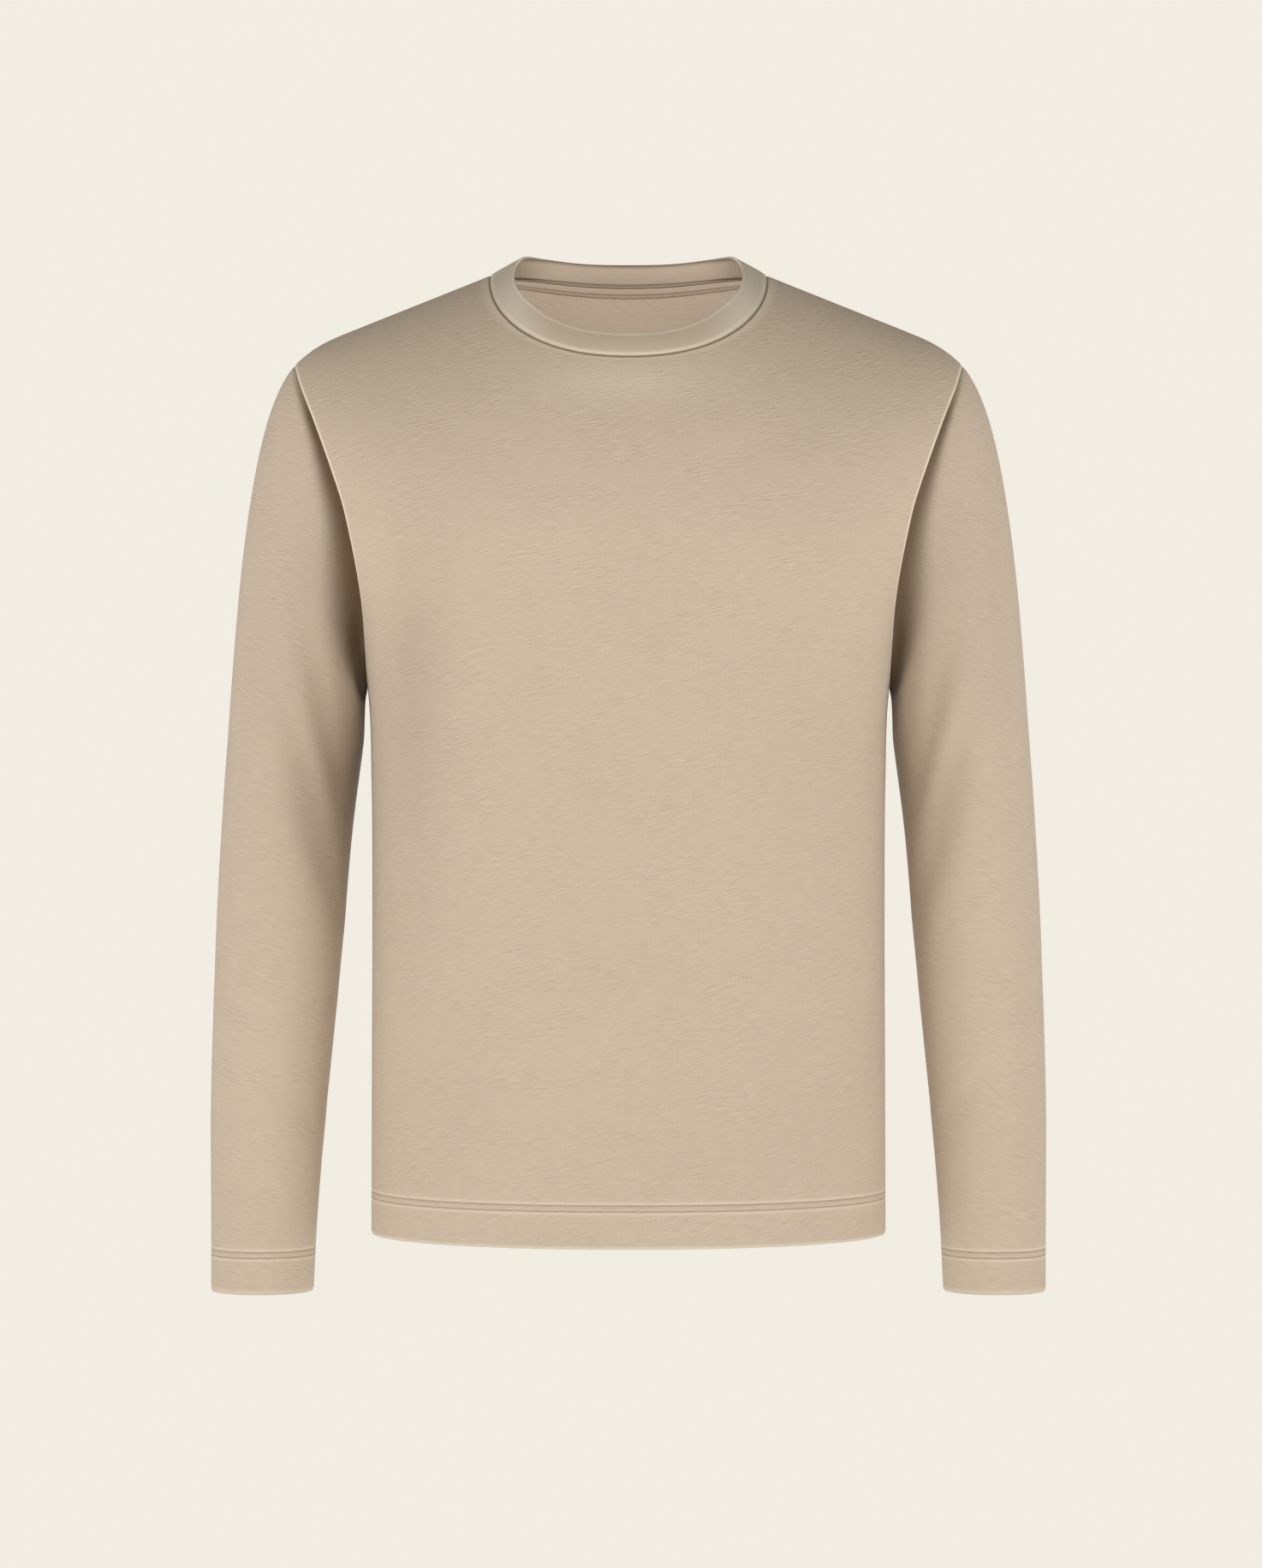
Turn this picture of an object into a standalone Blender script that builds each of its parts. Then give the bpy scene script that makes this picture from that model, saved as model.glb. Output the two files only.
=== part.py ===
# Long-sleeved crew-neck t-shirt in plain jersey, filled out as if worn, arms hanging.
# Metres, +Z up, front towards -Y, the wearer's left at +X.
# The origin is midway between the neck ends of the two shoulder seams.

import math

import bmesh
import bpy
from mathutils import Vector

# Cloth
WALL = 0.0012              # jersey wall
HEM_LAYERS = 2             # hems and cuffs are turned up once
RIB_WALL = 0.0020          # neckband, folded double
TAPE_WALL = 0.0010
SEAM_GAP = 0.0003          # between pieces that are sewn to each other
MITRE_LIMIT = 0.6          # least cosine used where a wall turns at a seam

# Shoulder seam, from the neck to the sleeve head
NECK_HALF_WIDTH = 0.0991
SHOULDER_X = 0.2390
SHOULDER_SLOPE = 0.40
SHOULDER_TIP_START = 0.2000
SHOULDER_TIP_DROP = 0.0084

# Heights
UNDERARM_Z = -0.2963
HEM_Z = -0.6847
HEM_DEPTH = 0.0270
CUFF_Z = -0.7253
CUFF_DEPTH = 0.0285
TURN_STEP = 0.0008         # height over which a turned hem steps back to one layer

# Neck
NECK_DROP = {"front": 0.0674, "back": 0.0009}
NECK_LIFT = {"front": 0.0, "back": 0.0022}     # rise of the neckline beside the nape
NECK_POWER = 2.2
BAND_EDGE_HALF_WIDTH = 0.0812
BAND_EDGE_POWER = 2.3
BAND_EDGE_TWIST = math.radians(18)             # the fold's side points lie behind the seam's
BAND_CROWN = 0.0012        # outward bow of the band between its seam and its fold
BAND_CENTRE_Y = -0.0150
BAND_SHARES = (0.0, 0.30, 0.65, 0.93, 1.0)
FOLD_ROUNDING = 0.28       # share of the rib by which each face draws in at the fold
TAPE_DEPTH = 0.0110

# Folded inner edge of the band, seen from the side, from the front to the nape
BAND_EDGE_COLUMNS = ("y", "z")
BAND_EDGE = (
    (-0.0866, -0.0504),
    (-0.0580, -0.0255),
    (-0.0300, -0.0076),
    (0.0000, 0.0072),
    (0.0200, 0.0165),
    (0.0400, 0.0170),
    (0.0580, 0.0146),
)

# Torso sections, each a flattened oval
SIDE = {"front": -1.0, "back": 1.0}
CAP_HEIGHT = {"front": 0.210, "back": 0.170}
CAP_POWER = {"front": 1.6, "back": 2.0}
SHOULDER_ROLL = 0.06       # spacing of the rows over the shoulder, finer for a smaller value

BODY_COLUMNS = ("z", "half_width", "front_depth", "back_depth", "power")
BODY_SECTIONS = (
    (-0.6900, 0.1840, 0.1220, 0.1120, 2.15),
    (-0.5600, 0.1835, 0.1225, 0.1080, 2.30),
    (-0.4500, 0.1830, 0.1235, 0.1040, 2.45),
    (-0.3600, 0.1836, 0.1250, 0.1100, 2.50),
    (UNDERARM_Z, 0.1864, 0.1260, 0.1180, 2.50),
    (-0.2345, 0.1990, 0.1260, 0.1235, 2.50),
    (-0.1750, 0.2280, 0.1260, 0.1240, 2.50),
    (-0.1080, 0.2640, 0.1260, 0.1240, 2.50),
    (0.0300, 0.3100, 0.1260, 0.1240, 2.50),
)

# Armhole seen from the front and from the back, from the sleeve head down to the underarm
ARMHOLE_COLUMNS = ("z", "front_x", "back_x")
ARMHOLE = (
    (-0.0644, 0.2390, 0.2390),
    (-0.0814, 0.2332, 0.2350),
    (-0.1078, 0.2222, 0.2270),
    (-0.1418, 0.2094, 0.2165),
    (-0.1752, 0.1988, 0.2070),
    (-0.2345, 0.1885, 0.1930),
    (UNDERARM_Z, 0.1864, 0.1864),
)

# Sleeve sections below the armhole, each an oval in a level plane
FAN_Z = -0.3350
SLEEVE_POWER = 2.15
SLEEVE_COLUMNS = ("z", "centre_x", "centre_y", "half_width", "half_depth")
SLEEVE_SECTIONS = (
    (FAN_Z, 0.2385, 0.0040, 0.0487, 0.0660),
    (-0.3730, 0.2419, 0.0030, 0.0480, 0.0620),
    (-0.4466, 0.2476, 0.0000, 0.0464, 0.0545),
    (-0.5202, 0.2526, -0.0030, 0.0440, 0.0485),
    (-0.5939, 0.2570, -0.0060, 0.0413, 0.0430),
    (-0.6675, 0.2599, -0.0090, 0.0380, 0.0380),
    (CUFF_Z, 0.2612, -0.0110, 0.0364, 0.0350),
)

# How the sleeve leaves the armhole, from its head (place 0) to the underarm (place 1): pull as
# a share of the chord, and direction; inward makes the hollow that runs beside the seam
SLEEVE_START_COLUMNS = ("place", "pull", "out", "inward", "down")
SLEEVE_START = (
    (0.00, 0.50, 0.70, 0.00, 0.70),
    (0.25, 0.72, 0.58, 0.50, 0.52),
    (0.50, 0.95, 0.48, 0.80, 0.42),
    (0.75, 0.95, 0.42, 0.62, 0.62),
    (0.90, 0.70, 0.34, 0.16, 0.90),
    (1.00, 0.60, 0.16, 0.00, 1.00),
)
FAN_SPACING = 1.3          # over 1 sets the rings closer at the armhole
SLOPE_STEP = 0.002         # height over which a sleeve's slope is read

# Soft folds of the torso: centre, lean of the fold from upright, half length, half width, depth
BODY_FOLD_COLUMNS = ("side", "x", "z", "lean", "half_length", "half_width", "depth")
BODY_FOLDS = (
    ("front", -0.1330, -0.3100, -3.0, 0.170, 0.020, 0.0040),
    ("front", 0.1380, -0.3400, 4.0, 0.150, 0.026, 0.0028),
    ("back", -0.0700, -0.4400, 14.0, 0.150, 0.022, 0.0040),
    ("back", 0.0850, -0.4200, -12.0, 0.130, 0.020, 0.0034),
)

# Soft folds of the sleeves: height, angle round the sleeve from its outer side towards the
# front, rise of the fold towards the outer side, half length, half width, depth
SLEEVE_FOLD_COLUMNS = ("z", "angle", "rise", "half_length", "half_width", "depth")
SLEEVE_FOLDS = (
    (-0.3300, 128.0, 1.5, 0.085, 0.0330, 0.0060),
    (-0.3150, 118.0, 1.9, 0.055, 0.0120, 0.0040),
    (-0.3620, 110.0, 1.7, 0.070, 0.0130, 0.0050),
    (-0.4080, 122.0, 1.6, 0.060, 0.0130, 0.0040),
    (-0.3700, 238.0, -1.5, 0.060, 0.0135, 0.0045),
)

# Rows and columns of the walls
COLUMNS = 24
BODY_ROWS = 13
ARMHOLE_SPANS = 12
SHOULDER_SPANS = 5
SHOULDER_SPACING = 1.25    # over 1 sets the rows closer at the sleeve head
SEARCH_STEP = 0.004
ARMHOLE_SWING = 55         # degrees; over half the torso's turn between the armholes
BOW_PLACE = 0.45           # share of the upper rows at which the plain bow is reached
FAN_RINGS = 9
ELBOW_Z = -0.4700
ELBOW_RINGS = 10
FOREARM_RINGS = 8

COLOURS = {
    "jersey": (0.60, 0.50, 0.37),
    "rib": (0.58, 0.48, 0.355),
    "tape": (0.52, 0.43, 0.31),
}


def value_at(table, columns, name, place):
    # Smooth reading of one column of a short table; its first column is the place.
    column = columns.index(name)
    rows = sorted(table)
    if place <= rows[0][0]:
        return rows[0][column]
    if place >= rows[-1][0]:
        return rows[-1][column]
    upper = next(i for i, row in enumerate(rows) if row[0] >= place)
    lower = upper - 1

    def slope(index):
        before = rows[max(index - 1, 0)]
        after = rows[min(index + 1, len(rows) - 1)]
        return (after[column] - before[column]) / (after[0] - before[0])

    span = rows[upper][0] - rows[lower][0]
    t = (place - rows[lower][0]) / span
    return (rows[lower][column] * (1 + 2 * t) * (1 - t) ** 2
            + slope(lower) * span * t * (1 - t) ** 2
            + rows[upper][column] * t * t * (3 - 2 * t)
            + slope(upper) * span * t * t * (t - 1))


def bell(distance):
    return math.exp(-distance * distance)


# Torso surface

def shoulder_line(x):
    # Height of the shoulder line, carried on over the neck as a shallow arch.
    x = abs(x)
    if x < NECK_HALF_WIDTH:
        return SHOULDER_SLOPE * (NECK_HALF_WIDTH ** 2 - x * x) / (2 * NECK_HALF_WIDTH)
    tip = max(0.0, (x - SHOULDER_TIP_START) / (SHOULDER_X - SHOULDER_TIP_START))
    return -SHOULDER_SLOPE * (x - NECK_HALF_WIDTH) - SHOULDER_TIP_DROP * tip ** 3


def roll_from_drop(drop):
    return math.sqrt(max(0.0, (drop + SHOULDER_ROLL) ** 2 - SHOULDER_ROLL ** 2))


def drop_from_roll(roll):
    return math.sqrt(roll * roll + SHOULDER_ROLL ** 2) - SHOULDER_ROLL


def body_fold(side, x, z):
    total = 0.0
    for row in BODY_FOLDS:
        fold = dict(zip(BODY_FOLD_COLUMNS, row))
        if fold["side"] != side:
            continue
        lean = math.radians(fold["lean"])
        across = (x - fold["x"]) * math.cos(lean) - (z - fold["z"]) * math.sin(lean)
        along = (x - fold["x"]) * math.sin(lean) + (z - fold["z"]) * math.cos(lean)
        total += (fold["depth"] * bell(across / fold["half_width"])
                  * bell(along / fold["half_length"]))
    return total


def torso_point(side, x, roll):
    # A point of the front or the back: x across, roll measured down from the shoulder line.
    drop = drop_from_roll(roll)
    z = shoulder_line(x) - drop
    half_width = value_at(BODY_SECTIONS, BODY_COLUMNS, "half_width", z)
    depth = value_at(BODY_SECTIONS, BODY_COLUMNS, side + "_depth", z) - body_fold(side, x, z)
    power = value_at(BODY_SECTIONS, BODY_COLUMNS, "power", z)
    across = min(1.0, abs(x) / half_width)
    oval = (1 - across ** power) ** (1 / power)
    rise = min(1.0, drop / CAP_HEIGHT[side])
    cap = (1 - (1 - rise) ** 2) ** (1 / CAP_POWER[side])
    return Vector((x, SIDE[side] * depth * oval * cap, z))


def signed_power(value, power):
    return math.copysign(abs(value) ** power, value)


def armhole_spots(side):
    # Evenly spaced (x, roll) pairs from the underarm up to the sleeve head.
    steps = 240
    top = shoulder_line(SHOULDER_X)
    spots = []
    for i in range(steps + 1):
        z = UNDERARM_Z + (top - UNDERARM_Z) * i / steps
        x = value_at(ARMHOLE, ARMHOLE_COLUMNS, side + "_x", z)
        spots.append((x, roll_from_drop(shoulder_line(x) - z)))
    points = [torso_point(side, x, roll) for x, roll in spots]
    points[0].y = 0.0
    lengths = [0.0]
    for before, after in zip(points, points[1:]):
        lengths.append(lengths[-1] + (after - before).length)
    chosen = []
    for k in range(ARMHOLE_SPANS + 1):
        wanted = lengths[-1] * k / ARMHOLE_SPANS
        chosen.append(min(range(steps + 1), key=lambda i: abs(lengths[i] - wanted)))
    return [spots[i] for i in chosen]


def level_spots(z):
    # A level row of the panel, from the wearer's right side seam to the left.
    half_width = value_at(BODY_SECTIONS, BODY_COLUMNS, "half_width", z)
    spots = []
    for i in range(COLUMNS + 1):
        x = half_width * math.sin((2 * i / COLUMNS - 1) * math.pi / 2)
        spots.append((x, roll_from_drop(shoulder_line(x) - z)))
    return spots


def neckline_spots(side):
    spots = []
    for i in range(COLUMNS + 1):
        angle = math.pi * (1 - i / COLUMNS)
        x = NECK_HALF_WIDTH * signed_power(math.cos(angle), 2 / NECK_POWER)
        z = (NECK_LIFT[side] * math.sin(2 * angle) ** 2
             - NECK_DROP[side] * signed_power(math.sin(angle), 2 / NECK_POWER))
        spots.append((x, roll_from_drop(shoulder_line(x) - z)))
    return spots


def shoulder_spots():
    # Along the shoulder seam from the sleeve head to the neck, closer together at the head.
    spots = []
    for k in range(1, SHOULDER_SPANS + 1):
        share = (k / SHOULDER_SPANS) ** SHOULDER_SPACING
        spots.append((SHOULDER_X + (NECK_HALF_WIDTH - SHOULDER_X) * share, 0.0))
    return spots


def row_shape(spots):
    # A row as shares of its half width and of its sag below its ends.
    half_width, end = spots[-1]
    sag = spots[COLUMNS // 2][1] - end
    return [(x / half_width, (roll - end) / sag) for x, roll in spots]


def bowed_shape():
    # A plain bow for the rows that end on the armhole, so that they leave it squarely.
    swing = math.radians(ARMHOLE_SWING)
    shares = [math.sin(swing * (2 * i / COLUMNS - 1)) / math.sin(swing) for i in range(COLUMNS + 1)]
    return [(share, 1 - share * share) for share in shares]


def upper_spots(side):
    # Rows above the underarm. Each ends on the armhole or the shoulder seam, and their shape
    # changes from the level row's through a plain bow into the neckline's.
    bottom = level_spots(UNDERARM_Z)
    top = neckline_spots(side)
    ends = armhole_spots(side)[1:] + shoulder_spots()
    middle = COLUMNS // 2
    shapes = (row_shape(bottom), bowed_shape(), row_shape(top))
    rows = []
    for k, (end_x, end_roll) in enumerate(ends):
        v = (k + 1) / len(ends)
        level = max(0.0, 1 - v / BOW_PLACE)
        round_neck = max(0.0, (v - BOW_PLACE) / (1 - BOW_PLACE))
        weights = (level, 1 - level - round_neck, round_neck)
        sag = bottom[middle][1] * (1 - v) + top[middle][1] * v - end_roll
        row = []
        for places in zip(*shapes):
            across = sum(weight * place[0] for weight, place in zip(weights, places))
            down = sum(weight * place[1] for weight, place in zip(weights, places))
            row.append((end_x * across, end_roll + sag * down))
        rows.append(row)
    rows[-1] = top
    return rows


def spot_below(side, upper, lower, distance):
    # The spot that lies a real distance below the upper one, on the way to the lower one.
    start = torso_point(side, *upper)
    share = 0.0
    spot = upper
    while (torso_point(side, *spot) - start).length < distance and share < 1.0:
        share += SEARCH_STEP
        spot = tuple(a + (b - a) * share for a, b in zip(upper, lower))
    return spot


def panel_points(side):
    # Rows from the hem up; each row runs from the wearer's right side to the left.
    turn = HEM_Z + HEM_DEPTH
    heights = [HEM_Z, turn, turn + TURN_STEP]
    heights += [turn + (UNDERARM_Z - turn) * k / (BODY_ROWS - 2) for k in range(1, BODY_ROWS - 1)]
    rows = [level_spots(z) for z in heights] + upper_spots(side)
    under_neck = [spot_below(side, upper, lower, TAPE_DEPTH)
                  for upper, lower in zip(rows[-1], rows[-2])]
    rows.insert(-1, under_neck)
    points = [[torso_point(side, x, roll) for x, roll in row] for row in rows]
    for row in points[:BODY_ROWS + 1]:
        row[0].y = 0.0
        row[-1].y = 0.0
    return points


# Sleeve surface

def sleeve_fold(z, angle):
    total = 0.0
    for row in SLEEVE_FOLDS:
        fold = dict(zip(SLEEVE_FOLD_COLUMNS, row))
        reach = value_at(SLEEVE_SECTIONS, SLEEVE_COLUMNS, "half_depth", z)
        turn = math.radians(fold["angle"] - angle) * reach
        tilt = math.atan(fold["rise"])
        along = turn * math.cos(tilt) + (z - fold["z"]) * math.sin(tilt)
        across = -turn * math.sin(tilt) + (z - fold["z"]) * math.cos(tilt)
        total += (fold["depth"] * bell(across / fold["half_width"])
                  * bell(along / fold["half_length"]))
    return total


def sleeve_oval(z, angle):
    # Angle in degrees from the outer side, through the front, the underarm and the back.
    values = {name: value_at(SLEEVE_SECTIONS, SLEEVE_COLUMNS, name, z) for name in SLEEVE_COLUMNS[1:]}
    cosine = math.cos(math.radians(angle))
    sine = math.sin(math.radians(angle))
    depth = signed_power(sine, 2 / SLEEVE_POWER) * values["half_depth"]
    width = signed_power(cosine, 2 / SLEEVE_POWER) * values["half_width"]
    return Vector((values["centre_x"] + width, values["centre_y"] - depth, z))


def sleeve_spot(z, angle):
    point = sleeve_oval(z, angle)
    centre = Vector((value_at(SLEEVE_SECTIONS, SLEEVE_COLUMNS, "centre_x", z),
                     value_at(SLEEVE_SECTIONS, SLEEVE_COLUMNS, "centre_y", z), z))
    return point - (point - centre).normalized() * sleeve_fold(z, angle)


def fan_point(start, around, share):
    # Between the armhole seam and the first level ring, on a curve that leaves both smoothly.
    angle = 360.0 * around
    end = sleeve_oval(FAN_Z, angle)
    chord = (end - start).length
    place = 1 - abs(2 * around - 1)
    lead = {name: value_at(SLEEVE_START, SLEEVE_START_COLUMNS, name, place)
            for name in SLEEVE_START_COLUMNS[1:]}
    facing = 1.0 if around < 0.5 else -1.0
    leave = Vector((lead["out"], lead["inward"] * facing, -lead["down"])).normalized()
    leave *= lead["pull"] * chord
    arrive = (sleeve_oval(FAN_Z - SLOPE_STEP, angle) - end).normalized() * chord
    t = share
    point = (start * ((1 + 2 * t) * (1 - t) ** 2) + leave * (t * (1 - t) ** 2)
             + end * (t * t * (3 - 2 * t)) + arrive * (t * t * (t - 1)))
    inwards = Vector((value_at(SLEEVE_SECTIONS, SLEEVE_COLUMNS, "centre_x", FAN_Z) - end.x,
                      -end.y, 0.0)).normalized()
    return point + inwards * sleeve_fold(point.z, angle) * min(1.0, 2.0 * share)


def sleeve_points(armhole):
    # Rings from the armhole seam to the cuff; the armhole is a closed loop of points.
    count = len(armhole)
    rings = [[point.copy() for point in armhole]]
    for k in range(1, FAN_RINGS + 1):
        share = (k / FAN_RINGS) ** FAN_SPACING
        rings.append([fan_point(armhole[j], j / count, share) for j in range(count)])
    turn = CUFF_Z + CUFF_DEPTH
    heights = [FAN_Z + (ELBOW_Z - FAN_Z) * k / ELBOW_RINGS for k in range(1, ELBOW_RINGS + 1)]
    heights += [ELBOW_Z + (turn - ELBOW_Z) * k / FOREARM_RINGS for k in range(1, FOREARM_RINGS)]
    heights += [turn + TURN_STEP, turn, CUFF_Z]
    for z in heights:
        rings.append([sleeve_spot(z, 360.0 * j / count) for j in range(count)])
    return rings


def armhole_loop(front, back):
    # From the sleeve head down the front to the underarm and up the back, at +X.
    first = BODY_ROWS
    down = [front[row][-1] for row in range(first + ARMHOLE_SPANS, first, -1)]
    up = [back[row][-1] for row in range(first, first + ARMHOLE_SPANS)]
    return down + up


# Neckband surface

def neck_loop(front, back):
    # The neckline from the wearer's left round the front to the right and back over the nape.
    return front[-1][:0:-1] + back[-1][:-1]


def band_edge(around):
    # The folded inner edge of the band; around runs with the neckline loop.
    angle = 2 * math.pi * around
    angle -= BAND_EDGE_TWIST * math.cos(angle)
    ahead, behind = BAND_EDGE[0][0], BAND_EDGE[-1][0]
    x = BAND_EDGE_HALF_WIDTH * signed_power(math.cos(angle), 2 / BAND_EDGE_POWER)
    y = (ahead + behind + (ahead - behind) * signed_power(math.sin(angle), 2 / BAND_EDGE_POWER)) / 2
    return Vector((x, y, value_at(BAND_EDGE, BAND_EDGE_COLUMNS, "z", y)))


def band_points(loop):
    # Rows from the neckline seam to the fold, bowed out a little between them.
    count = len(loop)
    rows = []
    for share in BAND_SHARES:
        row = []
        for j in range(count):
            edge = band_edge(j / count)
            away = Vector((loop[j].x, loop[j].y - BAND_CENTRE_Y, 0.0)).normalized()
            bow = away * BAND_CROWN * 4 * share * (1 - share)
            row.append(loop[j].lerp(edge, share) + bow)
        rows.append(row)
    return rows


# Facings and seams

def grid_facing(points, row, column, closed, outward):
    last_row = len(points) - 1
    width = len(points[0])
    above = points[min(row + 1, last_row)][column]
    below = points[max(row - 1, 0)][column]
    if closed:
        ahead = points[row][(column + 1) % width]
        behind = points[row][(column - 1) % width]
    else:
        ahead = points[row][min(column + 1, width - 1)]
        behind = points[row][max(column - 1, 0)]
    return (ahead - behind).cross(above - below).normalized() * outward


def facings_of(points, closed, outward):
    return [[grid_facing(points, row, column, closed, outward) for column in range(len(points[0]))]
            for row in range(len(points))]


class Wall:
    # The outer points of one piece, row by row, and how its edges are set at the seams.
    def __init__(self, points, closed, outward):
        self.points = points
        self.facings = facings_of(points, closed, outward)
        self.steps = {}
        self.rims = {}

    def edge(self, row, column, row_inside, column_inside):
        inside = self.points[row_inside][column_inside]
        return self, row % len(self.points), column % len(self.points[0]), inside

    def outer(self, row, column):
        return self.points[row][column] + self.steps.get((row, column), Vector())

    def inner(self, row, column, depth):
        normal, stretch = self.rims.get((row, column), (self.facings[row][column], 1.0))
        return self.outer(row, column) - normal * depth * stretch


def sew(stations, closed):
    # Sets pieces apart along a seam. A station holds the two sides that meet there, each a list
    # of edges; all of them share one normal, so that their rims face each other across the gap.
    count = len(stations)
    places = [sides[0][0][0].points[sides[0][0][1]][sides[0][0][2]] for sides in stations]
    for k, sides in enumerate(stations):
        ahead = places[(k + 1) % count] if closed else places[min(k + 1, count - 1)]
        behind = places[(k - 1) % count] if closed else places[max(k - 1, 0)]
        facings = []
        for side in sides:
            total = sum((wall.facings[row][column] for wall, row, column, _ in side), Vector())
            facings.append(total.normalized())
        normal = sum(facings, Vector()).normalized()
        for wall, row, column, _ in sides[0]:
            if (row, column) in wall.steps:
                normal -= normal.project(wall.steps[(row, column)])
        normal.normalize()
        across = (ahead - behind).cross(normal).normalized()
        for side, facing in zip(sides, facings):
            stretch = 1 / max(MITRE_LIMIT, normal.dot(facing))
            for wall, row, column, inside in side:
                into = across if across.dot(inside - places[k]) > 0 else -across
                before = wall.steps.get((row, column), Vector())
                wall.steps[(row, column)] = before + into * SEAM_GAP / 2
                wall.rims[(row, column)] = (normal, stretch)


def sew_sides(front, back):
    for first, second in ((0, 1), (-1, -2)):
        stations = []
        for row in range(BODY_ROWS + 1):
            stations.append([[front.edge(row, first, row, second)], [back.edge(row, first, row, second)]])
        sew(stations, False)


def sew_shoulders(front, back):
    head = BODY_ROWS + ARMHOLE_SPANS
    for first, second in ((0, 1), (-1, -2)):
        stations = []
        for row in range(head, len(front.points)):
            stations.append([[front.edge(row, first, row, second)], [back.edge(row, first, row, second)]])
        sew(stations, False)


def sew_armhole(front, back, sleeve, first, second):
    # From the sleeve head down the front to the underarm and up the back.
    head = BODY_ROWS + ARMHOLE_SPANS
    stations = []
    for j in range(2 * ARMHOLE_SPANS):
        row = head - j if j <= ARMHOLE_SPANS else head - 2 * ARMHOLE_SPANS + j
        at_corner = j in (0, ARMHOLE_SPANS)
        panels = [front, back] if at_corner else [front if j < ARMHOLE_SPANS else back]
        body = [panel.edge(row, first, row, second) for panel in panels]
        stations.append([body, [sleeve.edge(0, j, 1, j)]])
    sew(stations, True)


def sew_neck(front, back, band):
    stations = []
    for j in range(2 * COLUMNS):
        column = COLUMNS - j if j <= COLUMNS else j - COLUMNS
        at_corner = j in (0, COLUMNS)
        panels = [front, back] if at_corner else [front if j < COLUMNS else back]
        body = [panel.edge(-1, column, -2, column) for panel in panels]
        stations.append([body, [band.edge(0, j, 1, j)]])
    sew(stations, True)


# Solids

def make_material(name, roughness):
    material = bpy.data.materials.new(name)
    material.use_nodes = True
    shader = material.node_tree.nodes["Principled BSDF"]
    shader.inputs["Base Color"].default_value = (*COLOURS[name], 1.0)
    shader.inputs["Roughness"].default_value = roughness
    shader.inputs["Metallic"].default_value = 0.0
    return material


def extrude_rows(bm, rows, closed):
    # The first row is drawn, then its edges are extruded row by row; returns both end edges.
    line = [bm.verts.new(point) for point in rows[0]]
    pairs = list(zip(line, line[1:])) + ([(line[-1], line[0])] if closed else [])
    edges = [bm.edges.new(pair) for pair in pairs]
    first = edges
    for row in rows[1:]:
        grown = bmesh.ops.extrude_edge_only(bm, edges=edges)["geom"]
        fresh = {item for item in grown if isinstance(item, bmesh.types.BMVert)}
        above = [next(edge.other_vert(vert) for edge in vert.link_edges
                      if edge.other_vert(vert) in fresh) for vert in line]
        for vert, point in zip(above, row):
            vert.co = point
        edges = [item for item in grown if isinstance(item, bmesh.types.BMEdge)
                 and set(item.verts) <= fresh]
        line = above
    return first, edges


def finish(name, bm, material):
    bmesh.ops.recalc_face_normals(bm, faces=bm.faces)
    mesh = bpy.data.meshes.new(name)
    bm.to_mesh(mesh)
    bm.free()
    piece = bpy.data.objects.new(name, mesh)
    bpy.context.collection.objects.link(piece)
    mesh.materials.append(material)
    mesh.shade_smooth()
    mesh.set_sharp_from_angle(angle=math.radians(50))


def build_panel(name, wall, material):
    # Outer and inner sheet of a panel, joined all round by the rim; the hem has two layers.
    rows = range(len(wall.points))
    columns = range(len(wall.points[0]))
    bm = bmesh.new()
    extrude_rows(bm, [[wall.outer(r, c) for c in columns] for r in rows], False)
    inner = []
    for r in rows:
        depth = WALL * (HEM_LAYERS if r < 2 else 1)
        inner.append([wall.inner(r, c, depth) for c in columns])
    extrude_rows(bm, inner, False)
    bmesh.ops.bridge_loops(bm, edges=[edge for edge in bm.edges if edge.is_boundary])
    finish(name, bm, material)


def build_sleeve(name, wall, material):
    # Outer and inner tube of a sleeve, joined at both ends; the cuff has two layers.
    rings = len(wall.points)
    columns = range(len(wall.points[0]))
    bm = bmesh.new()
    start, end = extrude_rows(bm, [[wall.outer(r, c) for c in columns] for r in range(rings)], True)
    inner = []
    for r in range(rings):
        depth = WALL * (HEM_LAYERS if r >= rings - 2 else 1)
        inner.append([wall.inner(r, c, depth) for c in columns])
    start_inside, end_inside = extrude_rows(bm, inner, True)
    bmesh.ops.bridge_loops(bm, edges=start + start_inside)
    bmesh.ops.bridge_loops(bm, edges=end + end_inside)
    finish(name, bm, material)


def build_band(wall, material):
    # A folded strip: its two faces draw together at the fold.
    columns = range(len(wall.points[0]))
    last = len(wall.points) - 1
    outer = []
    inner = []
    for r in range(last + 1):
        drawn = FOLD_ROUNDING * RIB_WALL if r == last else 0.0
        outer.append([wall.outer(r, c) - wall.facings[r][c] * drawn for c in columns])
        inner.append([wall.inner(r, c, RIB_WALL - drawn) for c in columns])
    bm = bmesh.new()
    start, end = extrude_rows(bm, outer, True)
    start_inside, end_inside = extrude_rows(bm, inner, True)
    bmesh.ops.bridge_loops(bm, edges=start + start_inside)
    bmesh.ops.bridge_loops(bm, edges=end + end_inside)
    finish("neckband", bm, material)


def build_tape(back, material):
    # A strip on the inside of the back, under the neckband, from shoulder seam to shoulder seam.
    # Its points are those of the back's uppermost row, moved in.
    columns = range(COLUMNS + 1)
    last = len(back.points) - 1
    bm = bmesh.new()
    for depth in (WALL + SEAM_GAP, WALL + SEAM_GAP + TAPE_WALL):
        extrude_rows(bm, [[back.inner(r, c, depth) for c in columns] for r in (last - 1, last)], False)
    bmesh.ops.bridge_loops(bm, edges=[edge for edge in bm.edges if edge.is_boundary])
    finish("neck_tape", bm, material)


def mirrored(points):
    return [[Vector((-point.x, point.y, point.z)) for point in row] for row in points]


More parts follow.
